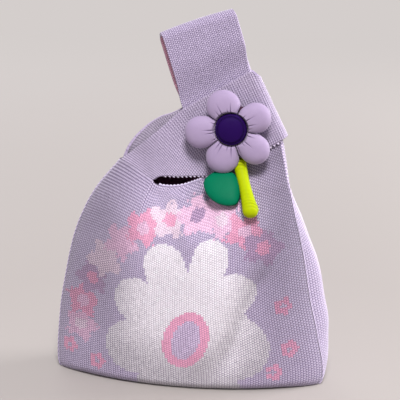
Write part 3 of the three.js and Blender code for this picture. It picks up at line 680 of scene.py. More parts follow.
def rims(fabric, place, count, across, outward, colours, roll=1):
    """Adds the two rounded edges that run across a fabric, or the two along its sides."""
    run = evenly(count)
    for end, colour in enumerate(colours):
        lines = [(run, np.full_like(run, share)) for share in (end, abs(end - RIM_INSIDE))]
        edge, inside = (place(*line) if across else place(*line[::-1]) for line in lines)
        way = outward * (2 * end - 1) * (1 if across else -1)
        away = unit(edge - inside)
        normal = unit(np.cross(unit(np.gradient(edge, axis=0)), away)) * way
        share = evenly(RIM_STEPS)[:, None]
        turn = np.pi * share[..., None]
        rounded = normal * np.cos(turn) + away * roll * np.sin(turn)
        points = edge - normal * KNIT / 2 + rounded * KNIT / 2
        length = length_along(edge) / COURSE_HEIGHT
        # these heights only set the painted shade between stitches along the rim
        heights = 1 - RIM_STITCH_SHADE + RIM_STITCH_SHADE * np.abs(np.sin(np.pi * length))[None, :]
        fabric.add(points, colour, heights, length, share, flip=(way < 0))


def tube_points(path, radii, around):
    """Rings of points round a line, with a row of radii for each ring."""
    tangent = unit(np.gradient(path, axis=0))
    first = unit(np.cross(tangent, ODD_WAY))
    second = np.cross(tangent, first)
    turn = evenly(around, 2 * np.pi)[None, :, None]
    return path[:, None] + (first[:, None] * np.cos(turn) + second[:, None] * np.sin(turn)) * radii[..., None]


def rope(fabric, path, radius, colour, pitch, around=12):
    """Adds a twisted two-ply cord."""
    length = length_along(path)[:, None]
    turn = evenly(around, 2 * np.pi)[None, :]
    wave = np.cos(2 * turn - 2 * np.pi * length / pitch)
    points = tube_points(path, radius * (1 - PLY_RELIEF + PLY_RELIEF * wave), around)
    # painted shade in the grooves between the plies
    fabric.add(points, colour, 0.5 + 0.5 * wave, turn / np.pi, length / pitch, flip=True)


# Materials

CREVICE_EASE = 1.5  # higher keeps the painted shade between stitches smaller
PALE_CREVICE = 0.72  # pale yarn scatters light into the places between its stitches, so less shade is painted there
PALE_YARN = [0.72, 0.96]  # red of the yarn where that starts, and where it is complete


def new_material(name, roughness, sheen=0.0):
    material = bpy.data.materials.new(name)
    material.use_nodes = True
    shader = material.node_tree.nodes["Principled BSDF"]
    shader.inputs["Roughness"].default_value = roughness
    shader.inputs["Sheen Weight"].default_value = sheen
    shader.inputs["Sheen Roughness"].default_value = 0.5
    return material, shader


def feed(owner, socket, value):
    """Gives a socket its value, or joins it to the socket that feeds it."""
    if isinstance(value, bpy.types.NodeSocket):
        owner.node_tree.links.new(value, socket)
    else:
        socket.default_value = value


def node(owner, kind, inputs=None, **settings):
    """Adds a shader node; inputs holds values, or the sockets that feed them."""
    made = owner.node_tree.nodes.new(kind)
    for name, value in settings.items():
        setattr(made, name, value)
    for name, value in (inputs or {}).items():
        feed(owner, made.inputs[name], value)
    return made


def rgba(colour):
    return (*colour, 1)


def tinted(owner, colour, factor, tint):
    """Colour multiplied by a tint as far as factor says."""
    inputs = {0: factor, 6: colour, 7: tint}
    return node(owner, "ShaderNodeMix", inputs, data_type="RGBA", blend_type="MULTIPLY").outputs[2]


def maths(owner, operation, first, second):
    return node(owner, "ShaderNodeMath", {0: first, 1: second}, operation=operation).outputs[0]


def attribute(owner, name, output="Fac"):
    return node(owner, "ShaderNodeAttribute", attribute_name=name).outputs[output]


def position(owner):
    return node(owner, "ShaderNodeNewGeometry").outputs["Position"]


def noise(owner, place, scale, detail):
    inputs = {"Vector": place, "Scale": scale, "Detail": detail}
    return node(owner, "ShaderNodeTexNoise", inputs).outputs["Fac"]


def waves(owner, place, scale, distortion, detail):
    inputs = {"Vector": place, "Scale": scale, "Distortion": distortion, "Detail": detail}
    return node(owner, "ShaderNodeTexWave", inputs, bands_direction="DIAGONAL").outputs["Fac"]


def ranged(owner, value, reach, low=0.0, high=1.0, kind="LINEAR"):
    """Value led over from low to high between the two ends of reach."""
    inputs = {"Value": value, "From Min": reach[0], "From Max": reach[1], "To Min": low, "To Max": high}
    return node(owner, "ShaderNodeMapRange", inputs, interpolation_type=kind).outputs["Result"]


def bump(owner, height, strength, distance, under=None):
    """Bumpy normals, on top of those of a coarser relief if it is given."""
    inputs = {"Height": height, "Strength": strength, "Distance": distance}
    if under is not None:
        inputs["Normal"] = under
    return node(owner, "ShaderNodeBump", inputs).outputs["Normal"]


def paint(material, shader, colour, normal):
    """Gives a material its colour and its relief."""
    feed(material, shader.inputs["Base Color"], colour)
    feed(material, shader.inputs["Normal"], normal)
    return material


def knit_material(name, crevice_shade):
    """Matt two-ply yarn with painted shade down between its stitches, fine plies and stray fibres."""
    material, shader = new_material(name, 0.92, sheen=0.25)
    tone = attribute(material, "tone", "Color")
    depth = maths(material, "SUBTRACT", 1.0, attribute(material, "height"))
    deep = maths(material, "POWER", depth, CREVICE_EASE)
    red = node(material, "ShaderNodeSeparateColor", {"Color": tone}).outputs["Red"]
    dark = maths(material, "MULTIPLY", deep, ranged(material, red, PALE_YARN, 1.0, PALE_CREVICE))
    stitches = node(material, "ShaderNodeUVMap", uv_map="stitches").outputs["UV"]
    place = position(material)
    fibres = noise(material, place, 1700.0, 3.0)
    # painted shade: the tone goes towards the dark tint where a point lies low between stitches
    shaded = tinted(material, tone, dark, rgba(crevice_shade))
    mottled = tinted(material, shaded, noise(material, place, 45.0, 2.0), (0.93, 0.92, 0.94, 1))
    speckled = tinted(material, mottled, fibres, (0.9, 0.88, 0.92, 1))
    plies = bump(material, waves(material, stitches, 1.9, 3.0, 2.0), 0.35, 0.0004)
    return paint(material, shader, speckled, bump(material, fibres, 0.5, 0.0003, plies))


def cloth_material(name, colour, roughness, sheen=0.0, threads=0.12):
    """Smooth woven cloth over stuffing: faint threads, soft clouds of tone, small pulls and painted shade in
    creases.
    """
    material, shader = new_material(name, roughness, sheen)
    shader.inputs["Specular IOR Level"].default_value = 0.05
    place = position(material)
    pulls = noise(material, place, 110.0, 3.0)
    clouds = tinted(material, rgba(colour), pulls, (0.86, 0.84, 0.88, 1))
    # painted shade: darker in the creases, grooves and seams that the piece marks
    dark = tinted(material, clouds, attribute(material, "crease_shade"), (0.2, 0.14, 0.26, 1))
    soft = bump(material, pulls, 0.25, 0.001)
    weave = waves(material, place, 900.0, 1.2, 1.0)
    return paint(material, shader, dark, bump(material, weave, threads, 0.0002, soft))


def felt_material(name, colour):
    """Pressed wool: matted fibres and a rough face."""
    material, shader = new_material(name, 0.95, sheen=0.4)
    fibres = noise(material, position(material), 900.0, 5.0)
    matted = tinted(material, rgba(colour), fibres, (0.6, 0.6, 0.6, 1))
    return paint(material, shader, matted, bump(material, fibres, 0.6, 0.0004))


def steel_material():
    """Nickel-plated steel with fine drawing lines."""
    material, shader = new_material("pin_steel", 0.3)
    shader.inputs["Metallic"].default_value = 1
    stretched = node(material, "ShaderNodeVectorMath", {0: position(material), 1: (60, 2400, 2400)},
                     operation="MULTIPLY").outputs[0]
    lines = noise(material, stretched, 1.0, 2.0)
    worn = tinted(material, rgba(STEEL), lines, (0.8, 0.8, 0.82, 1))
    return paint(material, shader, worn, bump(material, lines, 0.2, 0.0001))


# Tones of the knit

RNG = np.random.default_rng(11)


def uneven(colours):
    """Each stitch takes its dye a little differently."""
    shades = 1 + DYE_SPREAD * RNG.standard_normal(colours.shape[:-1])[..., None]
    return np.clip(colours * shades, 0, 1)


def even_tone(colour):
    return lambda points: uneven(np.broadcast_to(colour, points.shape))


def birdseye_tone(points):
    """Two yarns in turn, one row shifted against the next."""
    colours = np.broadcast_to(LILAC, points.shape).copy()
    rows, columns = np.indices(points.shape[:2])
    colours[(rows + columns) % 2 == 0] = LILAC_DEEP
    return uneven(colours)


def oval_distance(points, x, z, half_width, half_height, tilt=0.0):
    """Distance from an oval's middle, as a share of its size."""
    across, up = turned(points[..., 0] - x, points[..., 2] - z, -tilt)
    return np.hypot(across / half_width, up / half_height)


def petal_distance(points, tip_x, tip_z, half_width):
    """Distance outside a rounded petal that runs from the flower's middle to its tip."""
    place = points[..., [0, 2]] - np.array([MOTIF_X, MOTIF_Z])
    tip = np.array([tip_x, tip_z])
    end = tip * (1 - half_width / np.linalg.norm(tip))
    share = np.clip((place @ end) / (end @ end), 0, 1)
    return np.linalg.norm(place - share[..., None] * end, axis=-1) - half_width


def front_tone(points):
    """Knitted-in picture: blooms, blossoms, the big flower and its oval eye, under painted shade at the
    sides.
    """
    x, z = points[..., 0], points[..., 2]
    colours = np.broadcast_to(LILAC, points.shape).copy()
    ragged = 1 + BLOOM_SOFTNESS * RNG.standard_normal(points.shape[:2])
    for index, (bloom_x, bloom_z) in enumerate(BLOOMS):
        distance = oval_distance(points, bloom_x, bloom_z, BLOOM_WIDTH, BLOOM_HEIGHT)
        turn = np.arctan2(z - bloom_z, x - bloom_x) + index
        edge = ragged * (1 + BLOOM_LOBE_DEPTH * np.cos(BLOOM_LOBES * turn))
        colours[distance < edge] = BLOOM_COLOURS[index % len(BLOOM_COLOURS)]
        colours[distance < ragged * BLOOM_CORE] = BLOOM_COLOURS[(index + 3) % len(BLOOM_COLOURS)]
    for blossom_x, blossom_z in BLOSSOMS:
        for turn in [2 * math.pi * k / BLOSSOM_PETALS for k in range(BLOSSOM_PETALS)]:
            petal_x = blossom_x + BLOSSOM_REACH * math.cos(turn)
            petal_z = blossom_z + BLOSSOM_REACH * math.sin(turn)
            colours[oval_distance(points, petal_x, petal_z, BLOSSOM_PETAL_R, BLOSSOM_PETAL_R) < 1] = ROSE
    flower = oval_distance(points, MOTIF_X, MOTIF_Z, MOTIF_DISC, MOTIF_DISC) < 1
    for motif_petal in MOTIF_PETALS:
        flower = flower | (petal_distance(points, *motif_petal) < 0)
    # painted shade: the flower's white darker towards the foot of the front
    low = smooth((WHITE_SHADE_FROM - z) / WHITE_SHADE_FROM)
    colours[flower] = (WHITE * (1 - WHITE_SHADE * low[..., None]))[flower]
    for inset, colour in [(0, ROSE), (EYE_RING, EYE_LILAC)]:
        size = (EYE_WIDTH / 2 - inset, EYE_HEIGHT / 2 - inset)
        colours[oval_distance(points, MOTIF_X, MOTIF_Z, *size, EYE_TILT) < 1] = colour
    # painted shade: the yarn darker towards the sides of the front, more so higher up
    aside = np.abs(x - MOTIF_X) - SIDE_SHADE_FROM
    shade = at(SIDE_SHADE, z) * smooth(aside / SIDE_SHADE_REACH)
    return uneven(colours * (1 - shade)[..., None])


# Bag body

def fold_depth(points, to_edge):
    """How far the front is pushed out by soft folds, where the full bag pulls at it."""
    x = points[..., 0]
    pushed = np.zeros_like(x)
    for place, top, foot, slope, width, height in FOLDS:
        drop = top - points[..., 2]
        across = np.exp(-((x - place - slope * drop) / width) ** 2)
        along = smooth(drop / FOLD_FADE + FOLD_EARLY) * smooth((top - foot - drop) / FOLD_FADE)
        pushed += height * across * along
    return pushed * smooth(to_edge / FOLD_EDGE)


def shoulder_hollow(u, below):
    """How far a wall draws in below its left shoulder, to run on smoothly into the short handle."""
    aside = smooth((SLIT_FROM - u) / HOLLOW_EASE + 0.5)
    return HOLLOW_SLOPE * below * np.exp(-below / HOLLOW_REACH) * aside


def front_place(u, v):
    points = wall_from_floor(front_section, FRONT, u, v)
    below = (1 - v) * wall_top(u, FRONT)[..., 2]
    points[..., 1] += shoulder_hollow(u, below) - fold_depth(points, below)
    return points


def even_shares(section, height, steps=400):
    """Even distances along a level section, and the shares of it that lie there."""
    s = evenly(steps)
    length = length_along(section(s, np.full_like(s, height)))
    return length / length[-1], s


BACK_LENGTHS, BACK_SHARES = even_shares(back_section, EVEN_HEIGHT)


def back_place(u, v):
    s = np.interp(u, BACK_LENGTHS, BACK_SHARES)
    points = wall_from_floor(back_section, BACK, s, v)
    points[..., 1] -= shoulder_hollow(s, (1 - v) * wall_top(s, BACK)[..., 2])
    return points


def shoulder_rows(u, v):
    """Share of plain rows in a wall's pattern: all of it on the left shoulder, none further down."""
    return smooth((ROWS_TO - u) / ROWS_EASE) * smooth((v - ROWS_FROM) / ROWS_EASE)


def lay_flat(place):
    """Width, length and area of a fabric laid flat, in metres: its widest row and its longest column."""
    share = evenly(FLAT_STEPS)
    points = place(*np.meshgrid(share, share)) * MM
    rows = np.diff(points, axis=1)
    columns = np.diff(points, axis=0)
    width = np.linalg.norm(rows, axis=-1).sum(axis=1).max()
    length = np.linalg.norm(columns, axis=-1).sum(axis=0).max()
    area = np.linalg.norm(np.cross(rows[:-1], columns[:, :-1]), axis=-1).sum()
    return width, length, min(area, width * length)


def knitted_sheet(place):
    width, length, area = lay_flat(place)


def body_wall(name, place, outward, tone, node_name, yarn):
    fabric = Fabric()
    knit_face(fabric, place, BODY_WALES, BODY_COURSES, outward, tone, plain=shoulder_rows)
    # inner face in the dark reverse yarn and painted shade
    plain_face(fabric, place, BODY_WALES, BODY_COURSES, outward, INSIDE_YARN_AND_SHADE)
    s = evenly(BODY_WALES)[:-1, None]
    top_tone = np.where(s > SLIT_FROM, LILAC, LILAC_DEEP)
    rims(fabric, place, BODY_WALES, True, outward, [LILAC, top_tone], FLAT_ROLL)
    wall = fabric.build(name, yarn)
    dress(wall, [node_name], "bag")
    knitted_sheet(place)


def floor_place(u, v):
    """Flat floor between the lower edges of the two walls."""
    zero = np.zeros_like(u)
    return mix(front_place(u, zero), back_place(u, zero), v[..., None])


def body_floor(yarn):
    """Floor of the bag, closed by a row of linked stitches along its middle."""
    fabric = Fabric()
    knit_face(fabric, floor_place, BODY_WALES, FLOOR_COURSES, -1, even_tone(LILAC))
    floor = fabric.build("floor_knit", yarn)
    dress(floor, ["bottom_seam"], "bag")
    width, _, area = lay_flat(floor_place)


def gusset(fabric, s):
    """Narrow knit strip that closes a side where the two walls part towards the neck."""
    u, v = chevron_grid(GUSSET_WALES, GUSSET_COURSES)
    height = np.clip(mix(GUSSET_FROM, 1, v), 0, 1)
    side = np.full_like(v, s)
    front, back = front_place(side, height), back_place(side, height)
    surface = mix(front, back, u[..., None])
    width = np.linalg.norm(back - front, axis=-1)
    heights = stitch_heights(GUSSET_WALES, GUSSET_COURSES, WALE_RELIEF, True)
    surface[..., 0] += (2 * s - 1) * (GUSSET_BULGE * width * np.sin(np.pi * u) + RELIEF * (heights - 0.5))
    fabric.add(surface, LILAC, heights, u * GUSSET_WALES, v * GUSSET_COURSES, flip=(s == 0))


def seam_welt(where, s, radius, colour, yarn):
    """Linked join along the edge where the two walls meet."""
    v = np.linspace(WELT_FROM, WELT_TO, WELT_POINTS)
    at_side = np.full_like(v, s)
    middle = (front_place(at_side, v) + back_place(at_side, v)) / 2
    proud = vec((2 * s - 1) * WELT_OUT, -WELT_FORWARD * (1 - neck_share(v)), 0)
    fabric = Fabric()
    rope(fabric, middle + unit(proud) * radius, radius, colour, pitch=2 * COURSE_HEIGHT)
    gusset(fabric, s)
    dress(fabric.build(where + "_welt", yarn), [where + "_side_seam"], "bag")


def picots(name, node_name, path, side, outwards, size, pointed, colour, yarn):
    """Row of small knitted teeth or scallops along an edge of a wall; size is their height and pitch."""
    height, pitch = size
    path[:, 1] -= side * KNIT / 2
    length = length_along(path)[:, None]
    share = (length / pitch) % 1
    tooth = 1 - np.abs(2 * share - 1) if pointed else np.sqrt(np.clip(1 - (2 * share - 1) ** 2, 0, 1))
    half = (PICOT_BASE + (height - PICOT_BASE) * tooth) / 2
    turn = evenly(PICOT_SIDES, 2 * np.pi)[None, :]
    points = path[:, None] + outwards * (half - PICOT_SEAT + half * np.cos(turn))[..., None]
    points[..., 1] += PICOT_THICK * np.sin(turn)
    # painted shade towards the foot of each tooth
    heights = PICOT_FOOT + (1 - PICOT_FOOT) * tooth
    fabric = Fabric()
    fabric.add(points, colour, heights, turn / np.pi, 2 * length / pitch, flip=False)
    dress(fabric.build(name, yarn), [node_name], "bag")


def lip_picots(side, where, yarn):
    """Scallops on the lower lip of the neck slit."""
    lip = wall_top(np.linspace(SLIT_FROM + TRIM_END, SLIT_TO - TRIM_END, LIP_POINTS), side)
    up = vec(0, 0, 1)
    picots("lip_picots_" + where, where + "_neck_trim", lip, side, up, LIP_PICOT, False, LILAC_DEEP, yarn)


def band_picots(side, where, yarn):
    """Teeth along the lower edge of the short handle."""
    edge = band_place(np.linspace(BAND_TRIM_FROM, 1, BAND_EDGE_POINTS), 1.0, side)
    down = -band_point(0, 1, 0)
    picots("short_handle_picots_" + where, "short_handle_trim_" + where, edge, side, down, BAND_PICOT, True,
           LILAC, yarn)


# Handles

def band_wrap(u, v):
    """Short handle as one strap: front layer, fold at its right end, back layer."""
    turn = np.pi * np.clip((v - BAND_LAYER) / (1 - 2 * BAND_LAYER), 0, 1)
    front = band_place(np.clip(v / BAND_LAYER, 0, 1), u, FRONT)
    back = band_place(np.clip((1 - v) / BAND_LAYER, 0, 1), u, BACK)
    along = fold_start(u) + BAND_OUTER * np.sin(turn)
    fold = band_point(along, band_across(along, u, 0), -BAND_OUTER * np.cos(turn))
    v = v[..., None]
    return np.where(v < BAND_LAYER, front, np.where(v > 1 - BAND_LAYER, back, fold))


def strap(name, place, wales, courses, tones, reliefs, end_colour, end_roll, yarn, **stitch):
    """Strap that goes once round a loop: its outer and inner face, its rolled sides and its two ends."""
    fabric = Fabric()
    for tone, relief, depth in zip(tones, reliefs, [0, KNIT]):
        knit_face(fabric, place, wales, courses, 1, tone, depth=depth, relief=relief, **stitch)
    # rolled sides in the darker lilac, as painted shade
    rims(fabric, place, COURSE_POINTS * courses, False, 1, [EDGE_SHADED_LILAC, EDGE_SHADED_LILAC], EDGE_ROLL)
    rims(fabric, place, wales, True, 1, [end_colour, end_colour], end_roll)
    return fabric.build(name, yarn)


def short_handle(yarn):
    # outer face and ends in the darker copy of the lilac, as painted shade
    band = strap("short_handle_knit", band_wrap, BAND_WALES, BAND_COURSES,
                 [even_tone(BAND_SHADED_LILAC), even_tone(GREY_LILAC)], BAND_RELIEFS, BAND_SHADED_LILAC, FLAT_ROLL, yarn,
                 wale_relief=BAND_WALE_RELIEF, staggered=False)
    dress(band, ["short_handle_front", "short_handle_back"], "bag")
    knitted_sheet(band_wrap)


def lean_point(across, height, y):
    """Point of the long handle, from its place across and its height along its own lean."""
    x, z = turned(across, height, HANDLE_LEAN)
    return vec(x, y, z)


def handle_wrap(u, v):
    """Long handle as one strap: up its front layer, over the fold, down its back layer."""
    tilt = BAND_RISE - HANDLE_LEAN
    side = HANDLE_SIDE + HANDLE_WIDTH * u
    hinge = side * math.tan(tilt) + HINGE_V / math.cos(tilt)
    crown = HALF_STACK + HANDLE_PUFF
    arch = HANDLE_ARCH * (0.5 - (2 * u - 1) ** 2)
    shaft = HANDLE_TOP + HANDLE_TOP_RISE * (u - 0.5) + arch - crown
    rise = np.clip(np.minimum(v, 1 - v) / HANDLE_LAYER, 0, 1)
    turn = np.pi * np.clip((v - HANDLE_LAYER) / (1 - 2 * HANDLE_LAYER), 0, 1)
    height = mix(HANDLE_FOOT, shaft, rise)
    half = HALF_STACK + HANDLE_PUFF * smooth((height - hinge) / (GRIP_OPEN * (shaft - hinge)))
    y = -half * np.cos(turn)
    skew = HANDLE_SKEW * y * smooth((height - hinge) / SKEW_LENGTH)
    return lean_point(side - skew, height + crown * np.sin(turn), y)


def blend_across(piece, heights):
    """Fixes a piece's placing in its points; the ends of a stretch of heights across the band are found but
    not used.
    """
    start, end = (band_point(HANDLE_MIDDLE, height, 0) * MM for height in heights)
    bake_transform(piece)


def long_handle(yarn):
    # its two ends in the pale colour of the painted edge highlight
    loop = strap("long_handle_knit", handle_wrap, HANDLE_WALES, HANDLE_COURSES,
                 [birdseye_tone, even_tone(SHELL_PINK)], HANDLE_RELIEFS, PALE_EDGE_HIGHLIGHT, END_ROLL, yarn)
    dress(loop, ["long_handle_grip"])
    blend_across(loop, TILT_BLEND)
    knitted_sheet(handle_wrap)


def throat_place(side):
    """Layer of the long handle inside the band, from the right shoulder up to the loop."""
    def place(u, v):
        low = band_point(THROAT_LEFT + THROAT_WIDTH * u, BAND_LOW - GAP, side * HALF_STACK)
        high = lean_point(HANDLE_SIDE + HANDLE_WIDTH * u, HANDLE_FOOT, side * HALF_STACK)
        return mix(low, high, v[..., None])
    return place


def handle_roots(yarn):
    fabric = Fabric()
    for side, outward in [(FRONT, 1), (BACK, -1)]:
        place = throat_place(side)
        knit_face(fabric, place, HANDLE_WALES, ROOT_COURSES, outward, birdseye_tone, relief=ROOT_RELIEF)
        plain_face(fabric, place, HANDLE_WALES, ROOT_COURSES, outward, SHELL_PINK)
        rims(fabric, place, ROOT_COURSES, False, outward, [LILAC, LILAC])
    roots = fabric.build("long_handle_root_knit", yarn)
    dress(roots, ["long_handle_root_front", "long_handle_root_back", "long_handle_throat_front",
                          "long_handle_throat_back"])
    blend_across(roots, PULL_BLEND)
    width, length, _ = lay_flat(throat_place(FRONT))


# Flower

def around_flower(radius, y, turn):
    """Points at a radius round the flower's middle."""
    return vec(FLOWER_X + radius * np.cos(turn), y, FLOWER_Z + radius * np.sin(turn))


def closed_piece(name, points, material, flip=False):
    """Closed mesh from rings of points."""
    piece = make_mesh(name, points.reshape(-1, 3), grid_quads(*points.shape[:2], flip))
    piece.data.materials.append(material)
    return piece


def stuffed(name, points, crease_shades, material, node_name, body, flip=False):
    """Stuffed cloth piece from a closed grid of points, with painted shade in its creases."""
    piece = closed_piece(name, points, material, flip)
    crease_shade = piece.data.attributes.new("crease_shade", "FLOAT", "POINT")
    crease_shade.data.foreach_set("value", np.broadcast_to(crease_shades, points.shape[:2]).ravel())
    weld(piece)
    dress(piece, [node_name], body)


def petal(index, material):
    """Stuffed petal, pressed against its neighbours and drawn in under the button."""
    angle, reach, radius = PETALS[index]
    own = math.radians(angle)
    before = math.radians(PETALS[index - 1][0] - (360 if index == 0 else 0))
    after = math.radians(PETALS[(index + 1) % len(PETALS)][0] + (360 if index == len(PETALS) - 1 else 0))
    turn = evenly(PETAL_SIDES, 2 * np.pi)[None, :]
    polar = evenly(PETAL_RINGS, np.pi)[:, None]
    size = np.sin(polar) ** PETAL_FULLNESS
    outwards = radius * size * np.cos(turn)
    outwards = np.where(outwards < 0, outwards * (reach - PETAL_INNER) / radius, outwards)
    sideways = radius * size * np.sin(turn)
    across, up = turned(reach + outwards, sideways, own)
    forward = PETAL_HALF_DEPTH * np.cos(polar)
    for edge, way in [((before + own) / 2, 1), ((own + after) / 2, -1)]:
        normal = np.array([-math.sin(edge), math.cos(edge)]) * way
        inside = across * normal[0] + up * normal[1]
        shift = (inside + np.sqrt(inside ** 2 + PETAL_PRESS ** 2)) / 2 + GAP / 2 - inside
        across = across + normal[0] * shift
        up = up + normal[1] * shift
        forward = forward - np.sign(forward) * np.clip(shift, 0, PETAL_SQUEEZE_MOST) * PETAL_SQUEEZE
    distance = np.hypot(across, up)
    # gathers: each dents the petal and is painted darker in it as shade
    crease_shade = np.zeros_like(distance)
    for share in PETAL_GATHERS:
        fold = own + GATHER_SPREAD * (share + GATHER_SCATTER * math.sin(3 * index + 5 * share))
        ahead, aside = turned(across, up, -fold)
        length = GATHER_LENGTH + GATHER_UNEVEN * math.sin(2 * index + 4 * share)
        fade = 1 - smooth((distance - BUTTON_R) / length)
        crease_shade = np.maximum(crease_shade, np.exp(-(aside / GATHER_WIDTH) ** 2) * fade * (ahead > 0))
    crease_shade = crease_shade * (forward > 0)
    seat = (PETAL_HALF_DEPTH - BUTTON_SINK - GAP) + np.clip(distance - BUTTON_R - GAP, 0, None) * PETAL_SLOPE
    forward = np.minimum(forward - GATHER_DEPTH * crease_shade, seat)
    points = vec(FLOWER_X + across, PETAL_Y - forward, FLOWER_Z + up)
    name = "petal_%d" % (index + 1)
    stuffed("satin_" + name, points, crease_shade, material, name, "brooch")


def centre_button(material):
    """Covered button with a ring of stitches near its rim, on a shank that goes down to the felt."""
    turn = evenly(BUTTON_SIDES, 2 * np.pi)[None, :]
    rim_y = BUTTON_BACK - BUTTON_RIM
    radius = BUTTON_R * np.sin(evenly(BUTTON_FACE_RINGS, np.pi / 2))[:, None]
    ring = np.exp(-((radius - STITCH_RING_R) / STITCH_RING_WIDTH) ** 2)
    thread = 0.5 + 0.5 * np.cos(STITCH_COUNT * turn)
    dome = BUTTON_DOME * np.sqrt(np.clip(1 - (radius / BUTTON_R) ** 2, 0, 1))
    face = around_flower(radius, rim_y - dome + ring * (STITCH_GROOVE - STITCH_HEIGHT * thread), turn)
    share = evenly(BUTTON_SIDE_RINGS)
    drawn_in = np.where(share > BUTTON_BACK_SHARE, BUTTON_BACK_SHARE, 1)
    side = (BUTTON_R + BUTTON_BULGE * np.sin(np.pi * share)) * drawn_in
    seat = -(FELT_BACK + FELT + GAP)
    back_r = np.append(side, [BUTTON_R * BUTTON_BACK_SHARE, SHANK_R, SHANK_R, TIP_R])[:, None]
    back_y = np.append(mix(rim_y, BUTTON_BACK, share), [BUTTON_BACK, BUTTON_BACK + SHANK_NECK, seat, seat])
    points = np.concatenate([face, around_flower(back_r, back_y[:, None], turn)])
    # painted shade in the groove between the stitches of the ring
    crease_shades = np.zeros(points.shape[:2])
    crease_shades[:len(face)] = STITCH_SHADE * ring * (1 - thread)
    stuffed("satin_button", points, crease_shades, material, "centre_button", "brooch")


def gather_thread(yarn):
    """Turns of sewing thread that draw the petals together behind the button."""
    fabric = Fabric()
    turn = evenly(THREAD_STEPS, 2 * np.pi)
    depth = (BUTTON_BACK - FELT_BACK - FELT) / 2
    for lap in (-1, 0, 1):
        path = around_flower(SHANK_R + GAP + THREAD_R, depth + lap * THREAD_LAP, turn)
        rope(fabric, path, THREAD_TURN_R, PLUM, pitch=THREAD_PITCH, around=8)
    dress(fabric.build("gather_thread_turns", yarn), ["gather_thread"], "brooch")


def felt_backing(material):
    """Felt disc sewn behind the petals, with a softly cut edge."""
    rounded, bevel = FELT_EDGE
    edge = [[FELT_R - rounded, 0], [FELT_R, bevel], [FELT_R, FELT - bevel], [FELT_R - rounded, FELT]]
    radius, depth = np.array([[TIP_R, 0], *edge, [TIP_R, FELT]]).T[..., None]
    turn = evenly(FELT_SIDES, 2 * np.pi)
    wavy = 1 + FELT_WAVE * (3 * np.sin(9 * turn) + 2 * np.sin(17 * turn + 1))
    disc = closed_piece("felt_disc", around_flower(radius * wavy, -(FELT_BACK + depth), turn), material, True)
    weld(disc)
    dress(disc, ["felt_backing"], "brooch")


# Stem and leaf

def wall_depth(x, z):
    """Depth of the front wall at a place seen from the front, found by halving."""
    low, high = 0.0, 1.0
    for _ in range(30):
        s = np.array((low + high) / 2)
        t = np.minimum(z / wall_top(s, FRONT)[..., 2], 1)
        point = wall_place(front_section, FRONT, s, t)
        if point[..., 0] < x:
            low = float(s)
        else:
            high = float(s)
    return float(point[..., 1])


def stem(material):
    """Stuffed tube with small wrinkles near its two ends."""
    top = np.array([HANG_X - STEM_ASIDE, -(BAND_OUTER + GAP + STEM_TOP_R), HANG_Z])
    end = np.array([STEM_END_X, wall_depth(STEM_END_X, STEM_END_Z) - STEM_REST - STEM_LOW_R, STEM_END_Z])
    length = np.linalg.norm(end - top)
    reach = np.linspace(-STEM_TOP_R, length + STEM_LOW_R, STEM_RINGS)[:, None]
    off = np.where(reach < 0, -reach / STEM_TOP_R, np.where(reach > length, (reach - length) / STEM_LOW_R, 0))
    radius = at(STEM_GIRTH, np.clip(reach / length, 0, 1)) * np.sqrt(np.clip(1 - off ** 2, 0, 1))
    near_end = smooth((reach - length + WRINKLE_REACH) / WRINKLE_REACH) * (1 - off)
    near_top = smooth((WRINKLE_REACH - reach) / WRINKLE_REACH) * (1 - off)
    turn = evenly(STEM_SIDES, 2 * np.pi)[None, :]
    lean = WRINKLE_LEAN * np.sin(turn) + reach
    drift = WRINKLE_DRIFT * np.sin(0.33 * lean) + np.sin(2 * turn)
    patchy = 0.5 + 0.5 * np.sin(turn + 0.21 * reach)
    wrinkle = np.sin(lean * WRINKLE_RATE + drift) * (WRINKLE_LEAST + near_end + near_top) * patchy
    path = top + (end - top) * reach / length
    points = tube_points(path, radius * (1 + WRINKLE_DEPTH * wrinkle), STEM_SIDES)
    # painted shade in the hollows of the wrinkles
    crease_shades = np.clip(-wrinkle, 0, 1) * WRINKLE_SHADE
    stuffed("satin_stem", points, crease_shades, material, "stem", "pendant", flip=True)


def closed_spline(corners, steps):
    """Smooth closed line through points."""
    points = np.array(corners, float)
    before, after, beyond = (np.roll(points, shift, axis=0) for shift in (1, -1, -2))
    rows = []
    for t in np.linspace(0, 1, steps, endpoint=False):
        rows.append(0.5 * (2 * points + (after - before) * t
                    + (2 * before - 5 * points + 4 * after - beyond) * t ** 2
                    + (3 * points - before - 3 * after + beyond) * t ** 3))
    line = np.stack(rows, axis=1).reshape(-1, 2)
    return np.concatenate([line, line[:1]])


def leaf(material):
    """Stuffed leaf, fullest along its middle, with its seam round the rim."""
    outline = closed_spline(LEAF_OUTLINE, LEAF_STEPS) * LEAF_FULLER
    high = -BAND_OUTER
    low = wall_depth(LEAF_X, LEAF_Z - LEAF_REACH)
    tilt = math.atan2(high - low, 2 * LEAF_REACH)
    polar = evenly(LEAF_RINGS, np.pi)[:, None]
    seam = np.exp(-(np.cos(polar) / LEAF_SEAM_WIDTH) ** 2)
    size = np.sin(polar) ** LEAF_EASE - LEAF_SEAM_SINK * seam
    x, up = outline[:, 0] * size, outline[:, 1] * size
    depth = -LEAF_HALF_DEPTH * np.cos(polar)
    y, z = turned(depth, up, -tilt)
    middle = (high + low) / 2 - LEAF_REST - LEAF_HALF_DEPTH
    points = vec(LEAF_X + LEAF_SHIFT[0] + x, middle + y, LEAF_Z + LEAF_SHIFT[1] + z)
    # painted shade along the sunken seam
    stuffed("satin_leaf", points, LEAF_SEAM_SHADE * seam, material, "leaf", "pendant", flip=True)


# Stage

FLOOR_NEAR = linear(154, 148, 146)
FLOOR_FAR = linear(240, 235, 232)
BACKDROP = linear(212, 206, 204)


